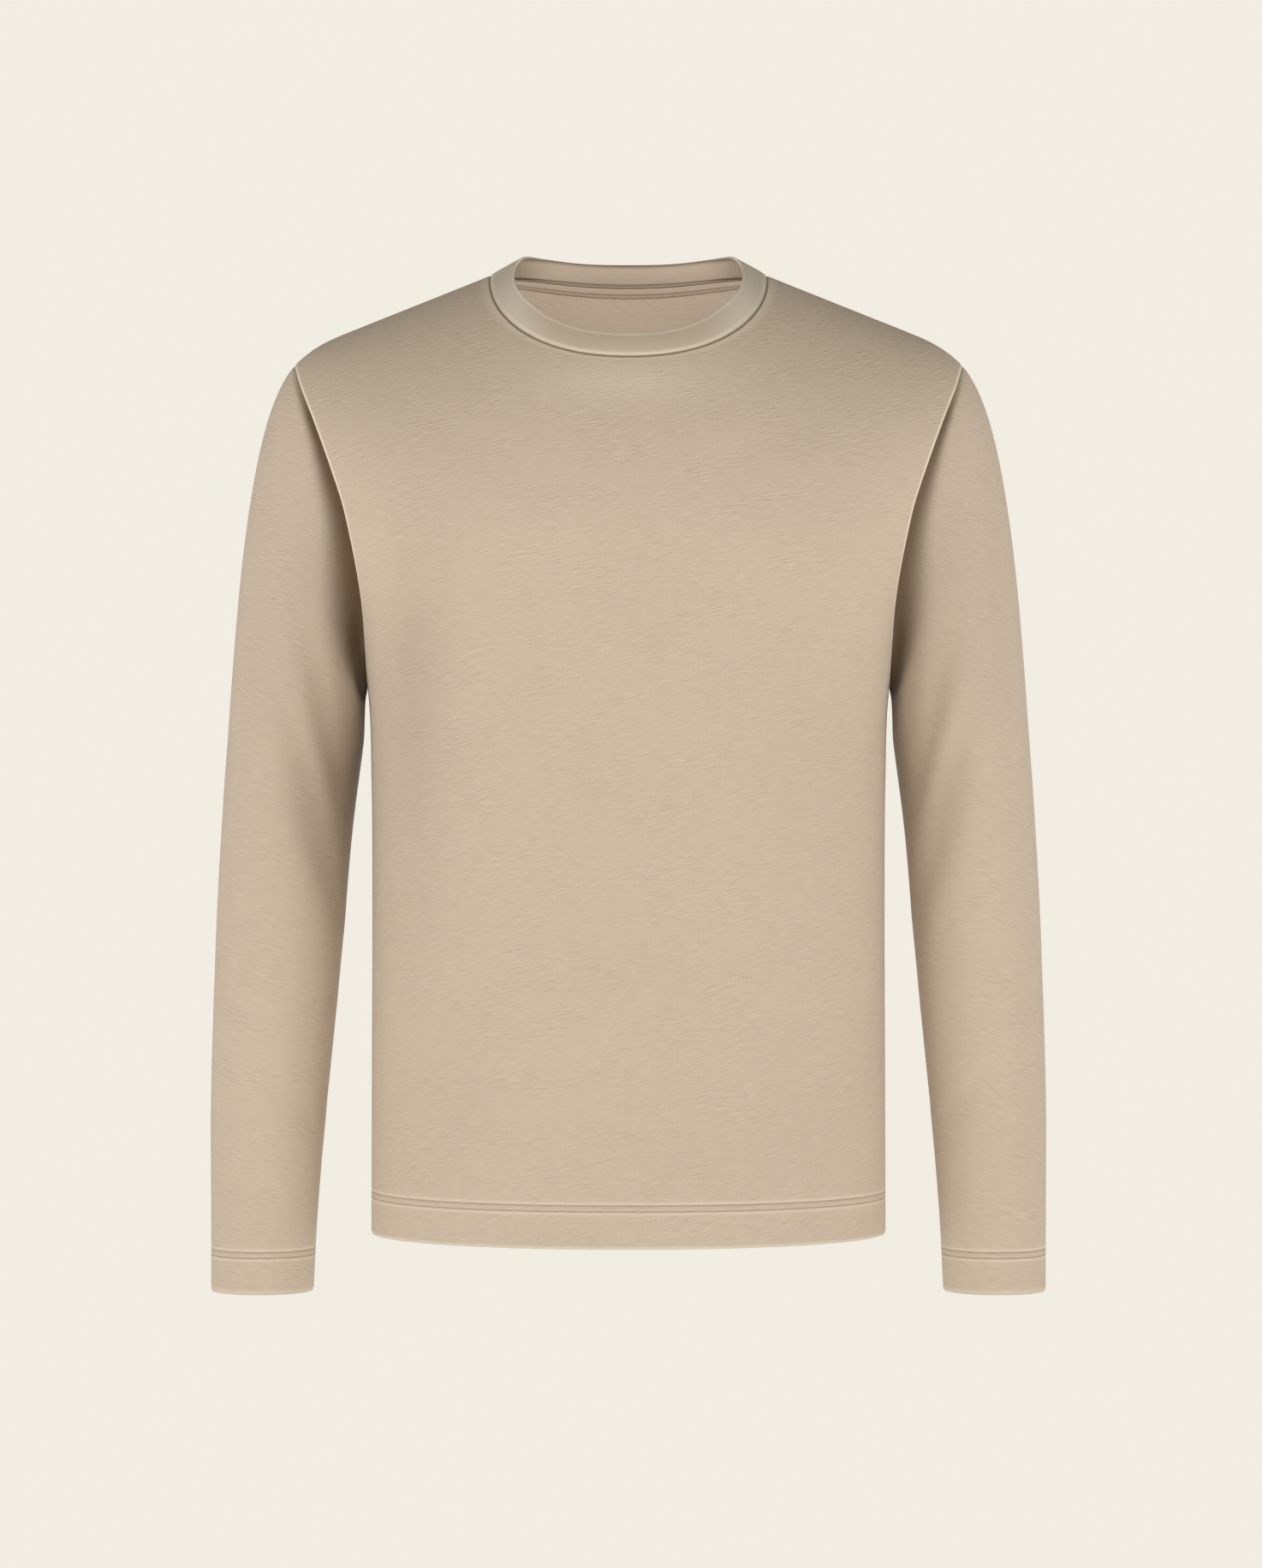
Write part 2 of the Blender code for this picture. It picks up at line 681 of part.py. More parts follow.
def make_walls():
    front = Wall(panel_points("front"), False, 1.0)
    back = Wall(panel_points("back"), False, -1.0)
    rings = sleeve_points(armhole_loop(front.points, back.points))
    left = Wall(rings, True, 1.0)
    right = Wall(mirrored(rings), True, -1.0)
    band = Wall(band_points(neck_loop(front.points, back.points)), True, -1.0)
    sew_sides(front, back)
    sew_shoulders(front, back)
    sew_armhole(front, back, left, -1, -2)
    sew_armhole(front, back, right, 0, 1)
    sew_neck(front, back, band)
    return front, back, left, right, band


def main():
    for item in list(bpy.data.objects):
        bpy.data.objects.remove(item, do_unlink=True)
    jersey = make_material("jersey", 0.85)
    rib = make_material("rib", 0.85)
    tape = make_material("tape", 0.80)
    front, back, left, right, band = make_walls()
    build_panel("front_panel", front, jersey)
    build_panel("back_panel", back, jersey)
    build_sleeve("sleeve_left", left, jersey)
    build_sleeve("sleeve_right", right, jersey)
    build_band(band, rib)
    build_tape(back, tape)


if __name__ == "__main__":
    main()
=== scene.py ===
# Long-sleeved crew-neck t-shirt in plain beige jersey, filled out with its sleeves hanging.
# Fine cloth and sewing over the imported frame; metres, +Z up, the front towards -Y.
import math
import random

import bmesh
import bpy
from mathutils import Matrix, Vector
from mathutils.kdtree import KDTree


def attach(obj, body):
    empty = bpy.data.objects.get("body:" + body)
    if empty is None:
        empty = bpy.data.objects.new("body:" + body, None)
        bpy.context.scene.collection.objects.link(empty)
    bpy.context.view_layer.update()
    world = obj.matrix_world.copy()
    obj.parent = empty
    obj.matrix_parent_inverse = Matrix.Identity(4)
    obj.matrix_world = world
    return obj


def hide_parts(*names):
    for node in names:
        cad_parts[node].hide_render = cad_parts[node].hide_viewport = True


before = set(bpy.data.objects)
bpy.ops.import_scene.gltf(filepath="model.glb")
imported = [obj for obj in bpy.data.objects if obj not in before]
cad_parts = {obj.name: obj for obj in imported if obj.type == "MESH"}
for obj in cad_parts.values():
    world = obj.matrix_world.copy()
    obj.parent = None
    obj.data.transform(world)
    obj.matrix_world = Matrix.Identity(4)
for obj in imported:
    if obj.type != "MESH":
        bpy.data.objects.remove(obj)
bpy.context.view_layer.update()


def shortTable(columns, *rows):
    return {"columns": columns, "rows": sorted(rows)}


# sizes that all the pieces share
cut = {
    "neckHalfWidth": 0.0991,
    "shoulderX": 0.2390,
    "shoulderSlope": 0.40,
    "tipStart": 0.2000,          # where the shoulder begins to round down to the sleeve
    "tipDrop": 0.0084,
    "underarmZ": -0.2963,
    "hemZ": -0.6847,
    "cuffZ": -0.7253,
    "wall": 0.0010,
    "hemHeights": (0.0, 0.0045, 0.0090, 0.0140, 0.0190, 0.0230),    # rows of a turned hem
    "stitchRows": (0.0260, 0.0300),    # the two needle rows above a hem's edge
    "turnOver": 0.0012,                # how far the turned-up cloth reaches past the upper one
    "grooveHalfWidth": 0.0006,
    "grooveDepth": 0.00030,
    # painted shade in the needle grooves, and a painted highlight on the low ridges beside them
    "grooveShade": 0.62,
    "ridgeGap": 0.0016,                # from a needle row to the low ridge beside the pair
    "ridgeHalfWidth": 0.0009,
    "ridgeHighlight": 0.40,
    "plainFrom": 0.0030,               # from the upper needle row to the plain cloth
}

torso = {
    "facing": {"front": -1.0, "back": 1.0},
    "capHeight": {"front": 0.210, "back": 0.170},
    "capPower": {"front": 1.6, "back": 2.0},
    "roll": 0.06,                # how softly the cloth bends over the shoulder line
    "neckDrop": {"front": 0.0674, "back": 0.0009},
    "neckLift": {"front": 0.0, "back": 0.0022},
    "neckPower": 2.2,
    "columns": 96,
    "armholeSpans": 48,
    "armholeSteps": 20,          # how finely each of them is measured
    "shoulderSpans": 20,
    "shoulderSpacing": 1.25,     # over 1, the rows lie closer towards the tip
    "armholeSwing": 55,          # how much closer the columns of the bowed rows lie at their ends
    "bowPlace": 0.66,            # where, from underarm to neckline, the rows are bowed the most
    "rowSpacing": 0.0050,
    "edgeRings": (0.0024, 0.0016, 0.0009, 0.0004),     # how far each lies from the edge
    "edgeRoom": 0.0034,          # the least width of the outermost cells beside an armhole
    "mostRoom": 0.7,             # at most this share of the columns that make room for it
    "leastSlant": 0.05,
    "spreadColumns": 14,
    "hemReach": 0.001,           # spots this close over the hem's height are on its edge
    # how far an edge is rolled in, how much painted shade lies in its groove, how strong the painted
    # highlight on its ridge is, how wide both are
    "edges": {
        "hem": {"tuck": 0.0005, "dark": 0.00, "paintedHighlight": 0.42, "soft": 0.0009},
        "side": {"tuck": 0.0005, "dark": 0.00, "paintedHighlight": 0.80, "soft": 0.0009},
        "shoulder": {"tuck": 0.0005, "dark": 0.40, "paintedHighlight": 0.70, "soft": 0.0009},
        "neckline": {"tuck": 0.0011, "dark": 1.00, "paintedHighlight": 0.80, "soft": 0.0015},
        "armhole": {"tuck": 0.0003, "dark": 0.00, "paintedHighlight": 1.00, "soft": 0.0009}},
    "sideShade": {"x": -0.150, "width": 0.022, "z": -0.290, "above": 0.085, "below": 0.150,
                  "depth": 0.16},
    "neckHighlight": {"halfWidth": 0.055, "z": -0.086, "height": 0.015, "paintedHighlight": 0.24},
    "sections": shortTable(
        ("z", "halfWidth", "front", "back", "power"),
        (-0.6900, 0.1840, 0.1220, 0.1120, 2.15),
        (-0.5600, 0.1835, 0.1225, 0.1080, 2.30),
        (-0.4500, 0.1830, 0.1235, 0.1040, 2.45),
        (-0.3600, 0.1836, 0.1250, 0.1100, 2.50),
        (-0.2963, 0.1864, 0.1260, 0.1180, 2.50),
        (-0.2345, 0.1990, 0.1260, 0.1235, 2.50),
        (-0.1750, 0.2280, 0.1260, 0.1240, 2.50),
        (-0.1080, 0.2640, 0.1260, 0.1240, 2.50),
        (0.0300, 0.3100, 0.1260, 0.1240, 2.50)),
    "armhole": shortTable(
        ("z", "front", "back"),
        (-0.0644, 0.2390, 0.2390),
        (-0.0814, 0.2332, 0.2350),
        (-0.1078, 0.2222, 0.2270),
        (-0.1418, 0.2094, 0.2165),
        (-0.1752, 0.1988, 0.2070),
        (-0.2345, 0.1885, 0.1930),
        (-0.2963, 0.1864, 0.1864)),
    # side, x, z, lean in degrees, half length, half width, depth
    "folds": (
        ("front", -0.1330, -0.3100, -3.0, 0.170, 0.020, 0.0040),
        ("front", 0.1380, -0.3400, 4.0, 0.150, 0.026, 0.0028),
        ("back", -0.0700, -0.4400, 14.0, 0.150, 0.022, 0.0040),
        ("back", 0.0850, -0.4200, -12.0, 0.130, 0.020, 0.0034),
        ("front", 0.0720, -0.3370, -68.0, 0.022, 0.0035, 0.0005),
        ("front", -0.1620, -0.2600, 40.0, 0.045, 0.009, 0.0010),
        ("front", 0.1640, -0.2650, -42.0, 0.040, 0.010, 0.0009),
        ("front", 0.1000, -0.1250, 62.0, 0.060, 0.014, 0.0008),
        ("front", -0.1050, -0.1300, -62.0, 0.060, 0.014, 0.0008),
        ("front", 0.0300, -0.5400, 76.0, 0.070, 0.010, 0.0004),
        ("back", -0.1500, -0.2500, 44.0, 0.060, 0.012, 0.0016),
        ("back", 0.1520, -0.2560, -40.0, 0.055, 0.012, 0.0014),
        ("back", 0.0200, -0.3300, 78.0, 0.070, 0.012, 0.0008)),
}


def blended(first, leave, last, arrive, t):
    # a smooth way between two numbers or points, with the slopes given at both
    return (first * ((1 + 2 * t) * (1 - t) ** 2) + leave * (t * (1 - t) ** 2)
            + last * (t * t * (3 - 2 * t)) + arrive * (t * t * (t - 1)))


def valueAt(table, name, place):
    # smooth reading of one column of a short table; its first column is the place
    column = table["columns"].index(name)
    rows = table["rows"]
    if place <= rows[0][0]:
        return rows[0][column]
    if place >= rows[-1][0]:
        return rows[-1][column]
    upper = next(i for i, row in enumerate(rows) if row[0] >= place)
    lower = upper - 1

    def slope(index):
        before = rows[max(index - 1, 0)]
        after = rows[min(index + 1, len(rows) - 1)]
        return (after[column] - before[column]) / (after[0] - before[0])

    span = rows[upper][0] - rows[lower][0]
    return blended(rows[lower][column], slope(lower) * span, rows[upper][column],
                   slope(upper) * span, (place - rows[lower][0]) / span)


def bell(distance):
    return math.exp(-distance * distance)


def bellOver(offset, above, below):
    # a bell with a different width on each side of its middle
    return bell(offset / (above if offset > 0 else below))


def lengthsAlong(line):
    # how far each point of a line lies from the first, measured along it
    lengths = [0.0]
    for before, after in zip(line, line[1:]):
        lengths.append(lengths[-1] + (after - before).length)
    return lengths


def signedPower(value, power):
    return math.copysign(abs(value) ** power, value)


# the torso's surface, in x and in roll, which is measured down from the shoulder line

def shoulderLine(x):
    x = abs(x)
    half = cut["neckHalfWidth"]
    if x < half:
        return cut["shoulderSlope"] * (half ** 2 - x * x) / (2 * half)
    tip = max(0.0, (x - cut["tipStart"]) / (cut["shoulderX"] - cut["tipStart"]))
    return -cut["shoulderSlope"] * (x - half) - cut["tipDrop"] * tip ** 3


def rollFromDrop(drop):
    return math.sqrt(max(0.0, (drop + torso["roll"]) ** 2 - torso["roll"] ** 2))


def dropFromRoll(roll):
    return math.sqrt(roll * roll + torso["roll"] ** 2) - torso["roll"]


def foldDepth(side, x, z):
    total = 0.0
    for foldSide, foldX, foldZ, leanDegrees, halfLength, halfWidth, depth in torso["folds"]:
        if foldSide != side:
            continue
        lean = math.radians(leanDegrees)
        across = (x - foldX) * math.cos(lean) - (z - foldZ) * math.sin(lean)
        along = (x - foldX) * math.sin(lean) + (z - foldZ) * math.cos(lean)
        total += depth * bell(across / halfWidth) * bell(along / halfLength)
    return total


def torsoPoint(side, x, roll):
    drop = dropFromRoll(roll)
    z = shoulderLine(x) - drop
    halfWidth = valueAt(torso["sections"], "halfWidth", z)
    depth = valueAt(torso["sections"], side, z) - foldDepth(side, x, z)
    power = valueAt(torso["sections"], "power", z)
    across = min(1.0, abs(x) / halfWidth)
    oval = (1 - across ** power) ** (1 / power)
    rise = min(1.0, drop / torso["capHeight"][side])
    cap = (1 - (1 - rise) ** 2) ** (1 / torso["capPower"][side])
    return Vector((x, torso["facing"][side] * depth * oval * cap, z))


def spotAt(x, z):
    return x, rollFromDrop(shoulderLine(x) - z)


def armholeSpots(side):
    # evenly spaced from the underarm up to the sleeve head
    steps = torso["armholeSteps"] * torso["armholeSpans"]
    top = shoulderLine(cut["shoulderX"])
    spots = []
    for i in range(steps + 1):
        z = cut["underarmZ"] + (top - cut["underarmZ"]) * i / steps
        spots.append(spotAt(valueAt(torso["armhole"], side, z), z))
    points = [torsoPoint(side, x, roll) for x, roll in spots]
    points[0].y = 0.0
    lengths = lengthsAlong(points)
    chosen = []
    i = 0
    for k in range(torso["armholeSpans"] + 1):
        while i < steps and lengths[i] < lengths[-1] * k / torso["armholeSpans"]:
            i += 1
        chosen.append(spots[i])
    return chosen


def levelSpots(z):
    halfWidth = valueAt(torso["sections"], "halfWidth", z)
    spots = []
    for i in range(torso["columns"] + 1):
        x = halfWidth * math.sin((2 * i / torso["columns"] - 1) * math.pi / 2)
        spots.append(spotAt(x, z))
    return spots


def necklineSpots(side):
    spots = []
    for i in range(torso["columns"] + 1):
        angle = math.pi * (1 - i / torso["columns"])
        x = cut["neckHalfWidth"] * signedPower(math.cos(angle), 2 / torso["neckPower"])
        z = (torso["neckLift"][side] * math.sin(2 * angle) ** 2
             - torso["neckDrop"][side] * signedPower(math.sin(angle), 2 / torso["neckPower"]))
        spots.append(spotAt(x, z))
    return spots


def shoulderSpots():
    spots = []
    for k in range(1, torso["shoulderSpans"] + 1):
        share = (k / torso["shoulderSpans"]) ** torso["shoulderSpacing"]
        spots.append((cut["shoulderX"] + (cut["neckHalfWidth"] - cut["shoulderX"]) * share, 0.0))
    return spots


def rowShape(spots):
    halfWidth, end = spots[-1]
    sag = spots[len(spots) // 2][1] - end
    return [(x / halfWidth, (roll - end) / sag) for x, roll in spots]


def bowedShape():
    swing = math.radians(torso["armholeSwing"])
    count = torso["columns"]
    shares = [math.sin(swing * (2 * i / count - 1)) / math.sin(swing) for i in range(count + 1)]
    return [(share, 1 - share * share) for share in shares]


def upperSpots(side):
    # rows that end on the armhole and then on the shoulder seam, up to the neckline
    bottom = levelSpots(cut["underarmZ"])
    top = necklineSpots(side)
    ends = armholeSpots(side)[1:] + shoulderSpots()
    middle = torso["columns"] // 2
    shapes = (rowShape(bottom), bowedShape(), rowShape(top))
    rows = []
    for k, (endX, endRoll) in enumerate(ends):
        v = (k + 1) / len(ends)
        level = max(0.0, 1 - v / torso["bowPlace"])
        roundNeck = max(0.0, (v - torso["bowPlace"]) / (1 - torso["bowPlace"]))
        weights = (level, 1 - level - roundNeck, roundNeck)
        sag = bottom[middle][1] * (1 - v) + top[middle][1] * v - endRoll
        row = []
        for places in zip(*shapes):
            across = sum(weight * place[0] for weight, place in zip(weights, places))
            down = sum(weight * place[1] for weight, place in zip(weights, places))
            row.append((endX * across, endRoll + sag * down))
        rows.append(row)
    rows[-1] = top
    return rows


def edgeHeights(first, last, spacing):
    # heights from a turned edge to a far row, with close rows beside each row of stitching
    lower, upper = cut["stitchRows"]
    fixed = [*cut["hemHeights"], (lower + upper) / 2, upper + cut["plainFrom"],
             lower - cut["ridgeGap"], upper + cut["ridgeGap"]]
    for row in cut["stitchRows"]:
        fixed += [row - cut["grooveHalfWidth"], row, row + cut["grooveHalfWidth"]]
    heights = [first + step for step in sorted(fixed)]
    count = math.ceil((last - heights[-1]) / spacing)
    start = heights[-1]
    return heights + [start + (last - start) * k / count for k in range(1, count + 1)]


def grooveAt(height):
    nearest = min(abs(height - row) for row in cut["stitchRows"])
    return max(0.0, 1 - nearest / cut["grooveHalfWidth"])


def seamShade(height):
    # painted shade along a needle row and a painted highlight on the low ridges above and below the
    # pair
    lower, upper = cut["stitchRows"]
    ridge = max(bell((height - lower + cut["ridgeGap"]) / cut["ridgeHalfWidth"]),
                bell((height - upper - cut["ridgeGap"]) / cut["ridgeHalfWidth"]))
    return cut["grooveShade"] * grooveAt(height) - cut["ridgeHighlight"] * ridge


def panelRows(side):
    # spots and points of a panel, from the hem up, from the wearer's right to the left
    heights = edgeHeights(cut["hemZ"], cut["underarmZ"], torso["rowSpacing"])
    rows = [levelSpots(z) for z in heights] + upperSpots(side)
    points = [[torsoPoint(side, x, roll) for x, roll in row] for row in rows]
    for row in points[:len(heights)]:
        row[0].y = 0.0
        row[-1].y = 0.0
    return points, len(heights) - 1


def spreadEnds(points, first):
    # where rows meet the armhole at a slant, their end columns are moved in along the row,
    # so that the close rings along the edge have room
    spread = [list(row) for row in points]
    last = len(points[0]) - 1
    count = torso["spreadColumns"]
    for r in range(first, len(points) - 1):
        for columns in (range(count + 1), range(last, last - count - 1, -1)):
            line = [points[r][c] for c in columns]
            edge = (points[r + 1][columns[0]] - points[r - 1][columns[0]]).normalized()
            slant = (line[1] - line[0]).normalized().cross(edge).length
            lengths = lengthsAlong(line)
            firstStep = min(torso["edgeRoom"] / max(slant, torso["leastSlant"]),
                            torso["mostRoom"] * lengths[-1])
            if lengths[1] >= firstStep:
                continue
            for k in range(1, count):
                length = firstStep + (lengths[-1] - firstStep) * (k - 1) / (count - 1)
                i = next(i for i in range(1, count + 1) if lengths[i] >= length)
                share = (length - lengths[i - 1]) / (lengths[i] - lengths[i - 1])
                spread[r][columns[k]] = line[i - 1].lerp(line[i], share)
    return spread


# the sleeves' surface

sleeve = {
    "fanZ": -0.3350,              # where the fan from the armhole ends and level rings begin
    "power": 2.15,
    "fanRings": 36,
    "fanSpacing": 1.3,            # over 1, the rings lie closer towards the armhole
    "slopeStep": 0.002,           # how far down the first ring's slope is read
    "foldStart": 0.5,             # the share of the way down at which the creases are full
    "rowSpacing": 0.0052,
    "tuckUnder": 0.0012,          # how far the sleeve's edge reaches under the panels
    "tuckDepth": 0.0014,
    "hollowWidth": 0.0085,        # how far from the seam the hollow beside it is deepest
    "seamRoll": 0.0006,           # the edge dips under the panels
    "seamRollWidth": 0.0015,
    "seamSteps": 8,               # spots on each edge of the seam, for the distance from it
    "fullShadeFrom": 0.0014,           # a hollow of this depth gets the full painted shade
    "shadeTail": 0.12,             # what is left of the painted shade at twice its width
    "innerZ": -0.362,             # painted shade on the inner side under the arm, how wide and how high it is
    "innerWidth": 0.40,
    "innerAbove": 0.060,
    "innerBelow": 0.090,
    "cuffRings": (0.0006, 0.0016),    # how far two close rings lie from the cuff's edge
    "hemRoll": 0.0005,
    "hemRollWidth": 0.0009,
    # a painted highlight along the cuff's edge: how strong, how high and how wide
    "cuffEdgeHighlight": 0.32,
    "cuffEdgeHighlightHeight": 0.0012,
    "cuffEdgeHighlightWidth": 0.0008,
    "sections": shortTable(
        ("z", "centreX", "centreY", "halfWidth", "halfDepth"),
        (-0.3350, 0.2385, 0.0040, 0.0487, 0.0660),
        (-0.3730, 0.2419, 0.0030, 0.0480, 0.0620),
        (-0.4466, 0.2476, 0.0000, 0.0464, 0.0545),
        (-0.5202, 0.2526, -0.0030, 0.0440, 0.0485),
        (-0.5939, 0.2570, -0.0060, 0.0413, 0.0430),
        (-0.6675, 0.2599, -0.0090, 0.0380, 0.0380),
        (-0.7253, 0.2612, -0.0110, 0.0364, 0.0350)),
    # from the sleeve head (place 0) to the underarm (place 1); dark is how wide the painted shade
    # beside the seam is
    "start": shortTable(
        ("place", "pull", "out", "inward", "down", "hollow", "dark"),
        (0.00, 0.50, 0.70, 0.00, 0.70, 0.0003, 0.0015),
        (0.25, 0.72, 0.58, 0.50, 0.52, 0.0016, 0.0095),
        (0.50, 0.95, 0.48, 0.80, 0.42, 0.0036, 0.0230),
        (0.75, 0.95, 0.42, 0.62, 0.62, 0.0050, 0.0162),
        (0.90, 0.70, 0.34, 0.16, 0.90, 0.0034, 0.0115),
        (1.00, 0.60, 0.16, 0.00, 1.00, 0.0010, 0.0090)),
    # z, angle round the sleeve, rise towards the outer side, half length, half width, depth
    "folds": (
        (-0.3300, 128.0, 1.5, 0.085, 0.0330, 0.0060),
        (-0.3150, 118.0, 1.9, 0.055, 0.0120, 0.0040),
        (-0.3620, 110.0, 1.7, 0.070, 0.0130, 0.0050),
        (-0.4080, 122.0, 1.6, 0.060, 0.0130, 0.0040),
        (-0.3700, 238.0, -1.5, 0.060, 0.0135, 0.0045),
        (-0.5200, 60.0, 0.5, 0.035, 0.0090, 0.0008),
        (-0.5900, 120.0, 0.9, 0.040, 0.0100, 0.0010),
        (-0.5500, 250.0, -0.8, 0.045, 0.0100, 0.0014),
        (-0.6500, 80.0, 0.3, 0.030, 0.0090, 0.0006)),
}


def sleeveFold(z, angle):
    total = 0.0
    reach = valueAt(sleeve["sections"], "halfDepth", z)
    for foldZ, foldAngle, rise, halfLength, halfWidth, depth in sleeve["folds"]:
        turn = math.radians(foldAngle - angle) * reach
        tilt = math.atan(rise)
        along = turn * math.cos(tilt) + (z - foldZ) * math.sin(tilt)
        across = -turn * math.sin(tilt) + (z - foldZ) * math.cos(tilt)
        total += depth * bell(across / halfWidth) * bell(along / halfLength)
    return total


def sleeveOval(z, angle):
    # the angle runs from the outer side, through the front, the underarm and the back
    centreX, centreY, halfWidth, halfDepth = (
        valueAt(sleeve["sections"], name, z) for name in sleeve["sections"]["columns"][1:])
    width = signedPower(math.cos(math.radians(angle)), 2 / sleeve["power"]) * halfWidth
    depth = signedPower(math.sin(math.radians(angle)), 2 / sleeve["power"]) * halfDepth
    return Vector((centreX + width, centreY - depth, z))


def sleeveSpot(z, angle):
    point = sleeveOval(z, angle)
    centre = Vector((valueAt(sleeve["sections"], "centreX", z),
                     valueAt(sleeve["sections"], "centreY", z), z))
    return point - (point - centre).normalized() * sleeveFold(z, angle)


def seamPlace(around):
    # from the sleeve head (0) to the underarm (1), down the front or the back
    return 1 - abs(2 * around - 1)


def fanPoint(start, around, share):
    # between the armhole seam and the first level ring
    angle = 360.0 * around
    end = sleeveOval(sleeve["fanZ"], angle)
    chord = (end - start).length
    place = seamPlace(around)
    pull, out, inward, down = (
        valueAt(sleeve["start"], name, place) for name in ("pull", "out", "inward", "down"))
    facing = 1.0 if around < 0.5 else -1.0
    leave = Vector((out, inward * facing, -down)).normalized() * pull * chord
    below = sleeveOval(sleeve["fanZ"] - sleeve["slopeStep"], angle)
    arrive = (below - end).normalized() * chord
    point = blended(start, leave, end, arrive, share)
    centreX = valueAt(sleeve["sections"], "centreX", sleeve["fanZ"])
    inwards = Vector((centreX - end.x, -end.y, 0.0)).normalized()
    return point + inwards * sleeveFold(point.z, angle) * min(1.0, share / sleeve["foldStart"])


def armholeLoop(front, back, first):
    # from the sleeve head down the front to the underarm and up the back, at +X
    spans = torso["armholeSpans"]
    down = [front[row][-1] for row in range(first + spans, first, -1)]
    up = [back[row][-1] for row in range(first, first + spans)]
    return down + up


def sleeveRows(loop):
    # rings from the armhole to the cuff; each starts and ends at the seam on the inner side
    count = len(loop)
    order = [(c + count // 2) % count for c in range(count + 1)]
    rings = [[loop[j].copy() for j in order]]
    for k in range(1, sleeve["fanRings"] + 1):
        share = (k / sleeve["fanRings"]) ** sleeve["fanSpacing"]
        rings.append([fanPoint(loop[j], j / count, share) for j in order])
    heights = edgeHeights(cut["cuffZ"], sleeve["fanZ"], sleeve["rowSpacing"])[:-1]
    extra = [cut["cuffZ"] + step for step in sleeve["cuffRings"]]
    for z in reversed(sorted(heights + extra)):
        rings.append([sleeveSpot(z, 360.0 * j / count) for j in order])
    return rings, [j / count for j in order]


# facings of a grid of points, and what is pressed into it

def gridFacings(points, closed):
    facings = []
    width = len(points[0])
    for r in range(len(points)):
        above = points[min(r + 1, len(points) - 1)]
        below = points[max(r - 1, 0)]
        row = []
        for c in range(width):
            if closed and c in (0, width - 1):
                ahead, behind = points[r][1], points[r][-2]
            else:
                ahead, behind = points[r][min(c + 1, width - 1)], points[r][max(c - 1, 0)]
            row.append((ahead - behind).cross(above[c] - below[c]).normalized())
        facings.append(row)
    return facings


def pressed(points, facings, depthAt):
    # a copy of the grid moved in by a depth that depends on row and column
    return [[point - facings[r][c] * depthAt(r, c) for c, point in enumerate(row)]
            for r, row in enumerate(points)]


# meshes from grids

def treeOf(spots):
    # for the nearest of many spots
    tree = KDTree(len(spots))
    for i, spot in enumerate(spots):
        tree.insert(spot, i)
    tree.balance()
    return tree


def clothGrid(points, places, paintedLight, closed):
    # a flat grid, laid onto the points; places are the cloth's own coordinates in metres,
    # and the last grid is painted shade above 0 and a painted highlight below it
    rowCount = len(points)
    columnCount = len(points[0])
    bm = bmesh.new()
    bmesh.ops.create_grid(bm, x_segments=columnCount - 1, y_segments=rowCount - 1, size=1.0)
    uvLayer = bm.loops.layers.uv.new("cloth")
    paintedShadeLayer = bm.verts.layers.float.new("paintedShade")
    paintedHighlightLayer = bm.verts.layers.float.new("paintedHighlight")
    spots = {}
    for vert in bm.verts:
        c = round((vert.co.x + 1) / 2 * (columnCount - 1))
        r = round((vert.co.y + 1) / 2 * (rowCount - 1))
        spots[vert] = (r, c)
    for vert, (r, c) in spots.items():
        vert.co = points[r][c]
        vert[paintedShadeLayer] = max(0.0, paintedLight[r][c])
        vert[paintedHighlightLayer] = max(0.0, -paintedLight[r][c])
    for face in bm.faces:
        for loop in face.loops:
            r, c = spots[loop.vert]
            loop[uvLayer].uv = places[r][c]
    if closed:
        ends = [vert for vert, (r, c) in spots.items() if c in (0, columnCount - 1)]
        bmesh.ops.remove_doubles(bm, verts=ends, dist=1e-6)
    bm.normal_update()
    return bm


# a rolled edge, in shares of its own softness: how far the roll reaches, how wide its painted shade
# is, where its painted highlight lies and how wide it is
rolled = {
    "reach": 4.0,
    "shadeWidth": 0.55,
    "highlightPlace": 1.1,
    "highlightWidth": 0.8,
}


def rollEdges(bm, rings, kindOf):
    # close rings of faces along every edge; the edge is rolled in, with painted shade at its groove
    # and a painted highlight on the ridge beside it
    for width in rings:
        bm.normal_update()
        bmesh.ops.inset_region(bm, faces=bm.faces[:], thickness=width, depth=0.0,
                               use_boundary=True, use_even_offset=False, use_interpolate=True)
    bm.normal_update()
    paintedShadeLayer = bm.verts.layers.float["paintedShade"]
    paintedHighlightLayer = bm.verts.layers.float["paintedHighlight"]
    edge = [vert.co for vert in bm.verts if vert.is_boundary]
    tree = treeOf(edge)
    kinds = [kindOf(spot) for spot in edge]
    moves = []
    for vert in bm.verts:
        _, i, distance = tree.find(vert.co)
        kind = kinds[i]
        reach = distance / kind["soft"]
        if reach > rolled["reach"]:
            continue
        moves.append((vert, vert.normal * kind["tuck"] * bell(reach)))
        dark = kind["dark"] * bell(reach / rolled["shadeWidth"])
        vert[paintedShadeLayer] = max(vert[paintedShadeLayer], dark)
        paintedHighlight = kind["paintedHighlight"] * bell((reach - rolled["highlightPlace"]) / rolled["highlightWidth"])
        vert[paintedHighlightLayer] = max(vert[paintedHighlightLayer], paintedHighlight)
    for vert, move in moves:
        vert.co -= move


def linkObject(name, data):
    linked = bpy.data.objects.new(name, data)
    bpy.context.collection.objects.link(linked)
    return linked


def meshObject(name, bm, material):
    mesh = bpy.data.meshes.new(name)
    bm.to_mesh(mesh)
    bm.free()
    mesh.materials.append(material)
    return linkObject(name, mesh)


def clothPiece(name, bm, material):
    piece = meshObject(name, bm, material)
    piece.data.shade_smooth()
    return piece


